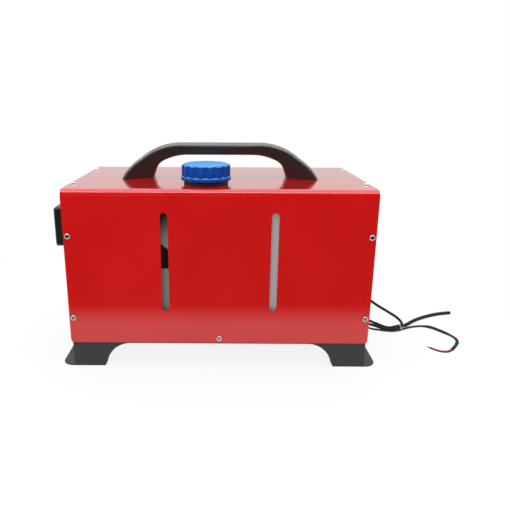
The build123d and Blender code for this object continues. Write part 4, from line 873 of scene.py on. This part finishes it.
def cap_reach(radius, height, angle):
    """The cap's ribs: round grooves between them, cut where the wall stands outside them."""
    if height < cap_groove_bottom or radius < cap_bore + 1:
        return radius
    pitch = 2 * math.pi / cap_ribs
    off = (angle + pitch / 2) % pitch - pitch / 2
    middle = cap_radius + cap_groove_radius - cap_groove_depth
    inside = cap_groove_radius ** 2 - (middle * math.sin(off)) ** 2
    if inside <= 0:
        return radius
    return min(radius, middle * math.cos(off) - math.sqrt(inside))


def make_cap():
    shape = bmesh.new()
    add_shell(shape, turned_rings(cap_profile, filler, 16 * cap_ribs, cap_reach))
    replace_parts(dress(piece_of("ribbed_cap", shape, 30.0), "cap_plastic", "cap"), "filler_cap")


# ---- Thin near-black sheet over the tank's pocket, which shows through the sight slots: painted shade in the recess ----
# Painted shade: a near-black sheet where the pocket's recess falls into shade.
pocket_shade_outline = [(-125.0, 138.8), (59.0, 138.8), (63.6, 140.4), (66.4, 144.0), (67.0, 148.0),
               (66.4, 152.0), (63.6, 155.6), (59.0, 157.2), (-57.5, 157.2), (-88.0, 180.6),
               (-125.0, 182.8)]


def make_pocket_shade():
    shape = bmesh.new()
    add_shell(shape, [[Vector((x, y, z)) * MM for x, z in pocket_shade_outline]
                      for y in (pocket_shade_front_y, pocket_shade_back_y)])
    dress(piece_of("pocket_shade_sheet", shape), "black_rubber", finish="pocket_painted_shade")


# ---- Carry handle: an arched grip on flared feet, with soft edges ----
def arc_from(start, heading, radius, turn, steps):
    """Points along an arc that leaves a point with a heading and turns, both in degrees."""
    side = 1 if turn > 0 else -1
    centre = (start[0] - side * radius * math.sin(math.radians(heading)),
              start[1] + side * radius * math.cos(math.radians(heading)))
    points = []
    for step in range(1, steps + 1):
        angle = math.radians(heading + turn * step / steps)
        points.append((centre[0] + side * radius * math.sin(angle),
                       centre[1] - side * radius * math.cos(angle)))
    return points


def arc_to(start, heading, end, steps):
    """Points along the arc that leaves a point with a heading and reaches the end."""
    run, rise = end[0] - start[0], end[1] - start[1]
    turn = 2 * (math.degrees(math.atan2(rise, run)) - heading)
    radius = math.hypot(run, rise) / 2 / abs(math.sin(math.radians(turn / 2)))
    return arc_from(start, heading, radius, turn, steps)


def straight_from(start, heading, length):
    """The end of a straight line that leaves a point with a heading in degrees."""
    angle = math.radians(heading)
    return (start[0] + length * math.cos(angle), start[1] + length * math.sin(angle))


def even_points(line, count):
    """Points evenly spaced along a line of points."""
    lengths = [0.0]
    for before, after in zip(line, line[1:]):
        lengths.append(lengths[-1] + math.hypot(after[0] - before[0], after[1] - before[1]))
    chosen = []
    for step in range(count + 1):
        target = lengths[-1] * step / count
        index = max(k for k in range(len(line) - 1) if lengths[k] <= target + 1e-9)
        share = (target - lengths[index]) / (lengths[index + 1] - lengths[index])
        pairs = zip(line[index], line[index + 1])
        chosen.append(tuple(low + (high - low) * share for low, high in pairs))
    return chosen


def crown_side():
    """The handle's upper line, as places along it and heights."""
    line = [(0.0, handle_top), (handle_flat_top, handle_top)]
    line += arc_from(line[-1], 0.0, crown_arc, -crown_fall, 16)
    line.append(straight_from(line[-1], -crown_fall, crown_straight))
    line += arc_to(line[-1], -crown_fall, (toe_x, case_top), 12)
    return line


def palm_side():
    """The handle's lower line, as places along it and heights."""
    line = [(0.0, handle_under), (handle_flat_under, handle_under)]
    line += arc_from(line[-1], 0.0, palm_arc, -palm_fall, 12)
    line += arc_to(line[-1], -palm_fall, (heel_x, case_top + heel_rise), 10)
    line.append((heel_end_x, case_top))
    return line


def flank_side():
    """Half the handle's width, as places along it and widths."""
    line = [(-1.0, grip_half), (flare_x, grip_half)]
    line += arc_from(line[-1], 0.0, flare_arc_in, flare_turn, 10)
    line.append(straight_from(line[-1], flare_turn, flare_straight))
    line += arc_from(line[-1], flare_turn, flare_arc_out, -flare_turn, 12)
    return line


flank_line = flank_side()


def flank(x):
    """Half the handle's width at a place along it."""
    for before, after in zip(flank_line, flank_line[1:]):
        if before[0] <= x <= after[0]:
            return before[1] + (after[1] - before[1]) * (x - before[0]) / (after[0] - before[0])
    return flank_line[-1][1]


def handle_section(outer, inner, side):
    """One rounded section between a point of the crown and one of the palm side.

    Its corners run crown right, crown left, palm left, palm right, so that the outline doesn't cross."""
    depth = math.hypot(outer[0] - inner[0], outer[1] - inner[1])
    corners = ((1, 1, handle_round), (-1, 1, handle_round), (-1, -1, palm_round), (1, -1, palm_round))
    ring = []
    for across, above, radius in corners:
        radius = min(radius, depth * round_share)
        for step in range(handle_corner_steps + 1):
            turn = math.pi / 2 * step / handle_corner_steps
            if across * above < 0:
                turn = math.pi / 2 - turn
            v = 0.5 * (1 + above) * depth - above * radius * (1 - math.sin(turn))
            share = v / depth
            x = inner[0] + (outer[0] - inner[0]) * share
            z = inner[1] + (outer[1] - inner[1]) * share
            y = across * (flank(x) - radius * (1 - math.cos(turn)))
            ring.append(Vector((side * x, y, z)) * MM)
    return ring


def make_handle():
    crown = even_points(crown_side(), handle_steps)
    palm = even_points(palm_side(), handle_steps)
    rings = [handle_section(outer, inner, -1) for outer, inner in zip(crown[:0:-1], palm[:0:-1])]
    rings += [handle_section(outer, inner, 1) for outer, inner in zip(crown, palm)]
    shape = bmesh.new()
    add_shell(shape, rings)
    handle = dress(piece_of("carry_handle_grip", shape, 50.0), "handle_plastic")
    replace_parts(handle, "carry_handle")


# ---- Pieces that the solids leave to this script, or that stand for a plainer solid ----
aux_line = make_aux_lead(make_tie())
power_line = make_power_lead()
make_reliefs(aux_line, power_line)
make_screws()
make_collar()
make_thread()
make_cap()
make_pocket_shade()
make_handle()


# ---- Floor, lamps and world ----
def ray_share(tree):
    """1 for camera, glossy and transmission rays, which see the white surroundings, else 0."""
    path = tree.nodes.new("ShaderNodeLightPath").outputs
    first = math_node(tree, "MAXIMUM", path["Is Camera Ray"], path["Is Glossy Ray"])
    return path, math_node(tree, "MAXIMUM", first, path["Is Transmission Ray"])


def make_floor():
    """A white floor: it keeps the object's shadow, and fades to plain white around it.

    Reflections see it pale up to the object, and dark in front, where the photograph's room is dark."""
    mesh = bpy.data.meshes.new("studio_floor")
    corners = [(-floor_half, -floor_half, 0), (floor_half, -floor_half, 0),
               (floor_half, floor_half, 0), (-floor_half, floor_half, 0)]
    mesh.from_pydata(corners, [], [(0, 1, 2, 3)])
    floor = bpy.data.objects.new("studio_floor", mesh)
    bpy.context.scene.collection.objects.link(floor)
    material, tree, shader = new_material("studio_floor")
    shader.inputs["Base Color"].default_value = grey(floor_grey)
    shader.inputs["Roughness"].default_value = 0.9
    shader.inputs["Specular IOR Level"].default_value = 0.0
    place = place_map(tree)
    length = tree.nodes.new("ShaderNodeVectorMath")
    length.operation = "LENGTH"
    tree.links.new(place, length.inputs[0])
    far = share_between(tree, length.outputs["Value"], *floor_fade)
    white_share = math_node(tree, "MAXIMUM", far, floor_glow)
    path, seen = ray_share(tree)
    near = share_between(tree, axes_of(tree, place)["Y"], *dark_floor_edge)
    dark = math_node(tree, "MULTIPLY", path["Is Glossy Ray"], math_node(tree, "SUBTRACT", 1.0, near))
    share = math_node(tree, "MULTIPLY", math_node(tree, "MAXIMUM", white_share, dark), seen)
    glow = tree.nodes.new("ShaderNodeEmission")
    tree.links.new(mix_colour(tree, dark, WHITE, grey(dark_floor_level)), glow.inputs["Color"])
    tree.links.new(spread(tree, path["Is Glossy Ray"], 1.0, mirrored_floor), glow.inputs["Strength"])
    mixed = tree.nodes.new("ShaderNodeMixShader")
    tree.links.new(share, mixed.inputs["Fac"])
    tree.links.new(shader.outputs["BSDF"], mixed.inputs[1])
    tree.links.new(glow.outputs["Emission"], mixed.inputs[2])
    tree.links.new(mixed.outputs["Shader"], tree.nodes["Material Output"].inputs["Surface"])
    mesh.materials.append(material)


def area_light(name, place, size, power):
    """A square softbox that lights the object without showing in its gloss."""
    data = bpy.data.lights.new(name, "AREA")
    data.shape = "SQUARE"
    data.size = size
    data.energy = power
    lamp = bpy.data.objects.new(name, data)
    lamp.location = place
    lamp.rotation_mode = "QUATERNION"
    lamp.rotation_quaternion = (Vector(light_aim) - Vector(place)).to_track_quat("-Z", "Y")
    bpy.context.scene.collection.objects.link(lamp)
    lamp.visible_glossy = False


def make_world():
    """White to the camera. Reflections see a pale backdrop, a softbox and a dark room in front."""
    world = bpy.data.worlds.new("studio")
    bpy.context.scene.world = world
    world.use_nodes = True
    tree = world.node_tree
    axes = axes_of(tree, tree.nodes.new("ShaderNodeTexCoord").outputs["Generated"])
    path, seen = ray_share(tree)
    glossy = path["Is Glossy Ray"]
    behind = share_between(tree, axes["Y"], *room_edge)
    dark = math_node(tree, "MULTIPLY", glossy, math_node(tree, "SUBTRACT", 1.0, behind))
    strip = math_node(tree, "MULTIPLY", behind, share_between(tree, axes["Y"], *softbox_back))
    strip = math_node(tree, "MULTIPLY", strip, glossy)
    strip = math_node(tree, "MULTIPLY", strip, share_between(tree, axes["Z"], *softbox_rise))
    zenith = share_between(tree, axes["Z"], *backdrop_rise)
    backdrop = mix_colour(tree, zenith, grey(backdrop_horizon), grey(backdrop_zenith))
    mirrored = mix_colour(tree, glossy, WHITE, backdrop)
    softbox = mix_colour(tree, strip, mirrored, grey(softbox_level))
    background = tree.nodes["Background"]
    tree.links.new(mix_colour(tree, dark, softbox, grey(room_level)), background.inputs["Color"])
    tree.links.new(spread(tree, seen, world_level, 1.0), background.inputs["Strength"])


make_floor()
area_light("top_softbox", (0.0, 0.1, 1.6), 1.8, top_power)
area_light("front_softbox", (-0.5, -1.7, 1.2), 1.4, front_power)
make_world()
bpy.context.scene.view_settings.view_transform = "Standard"
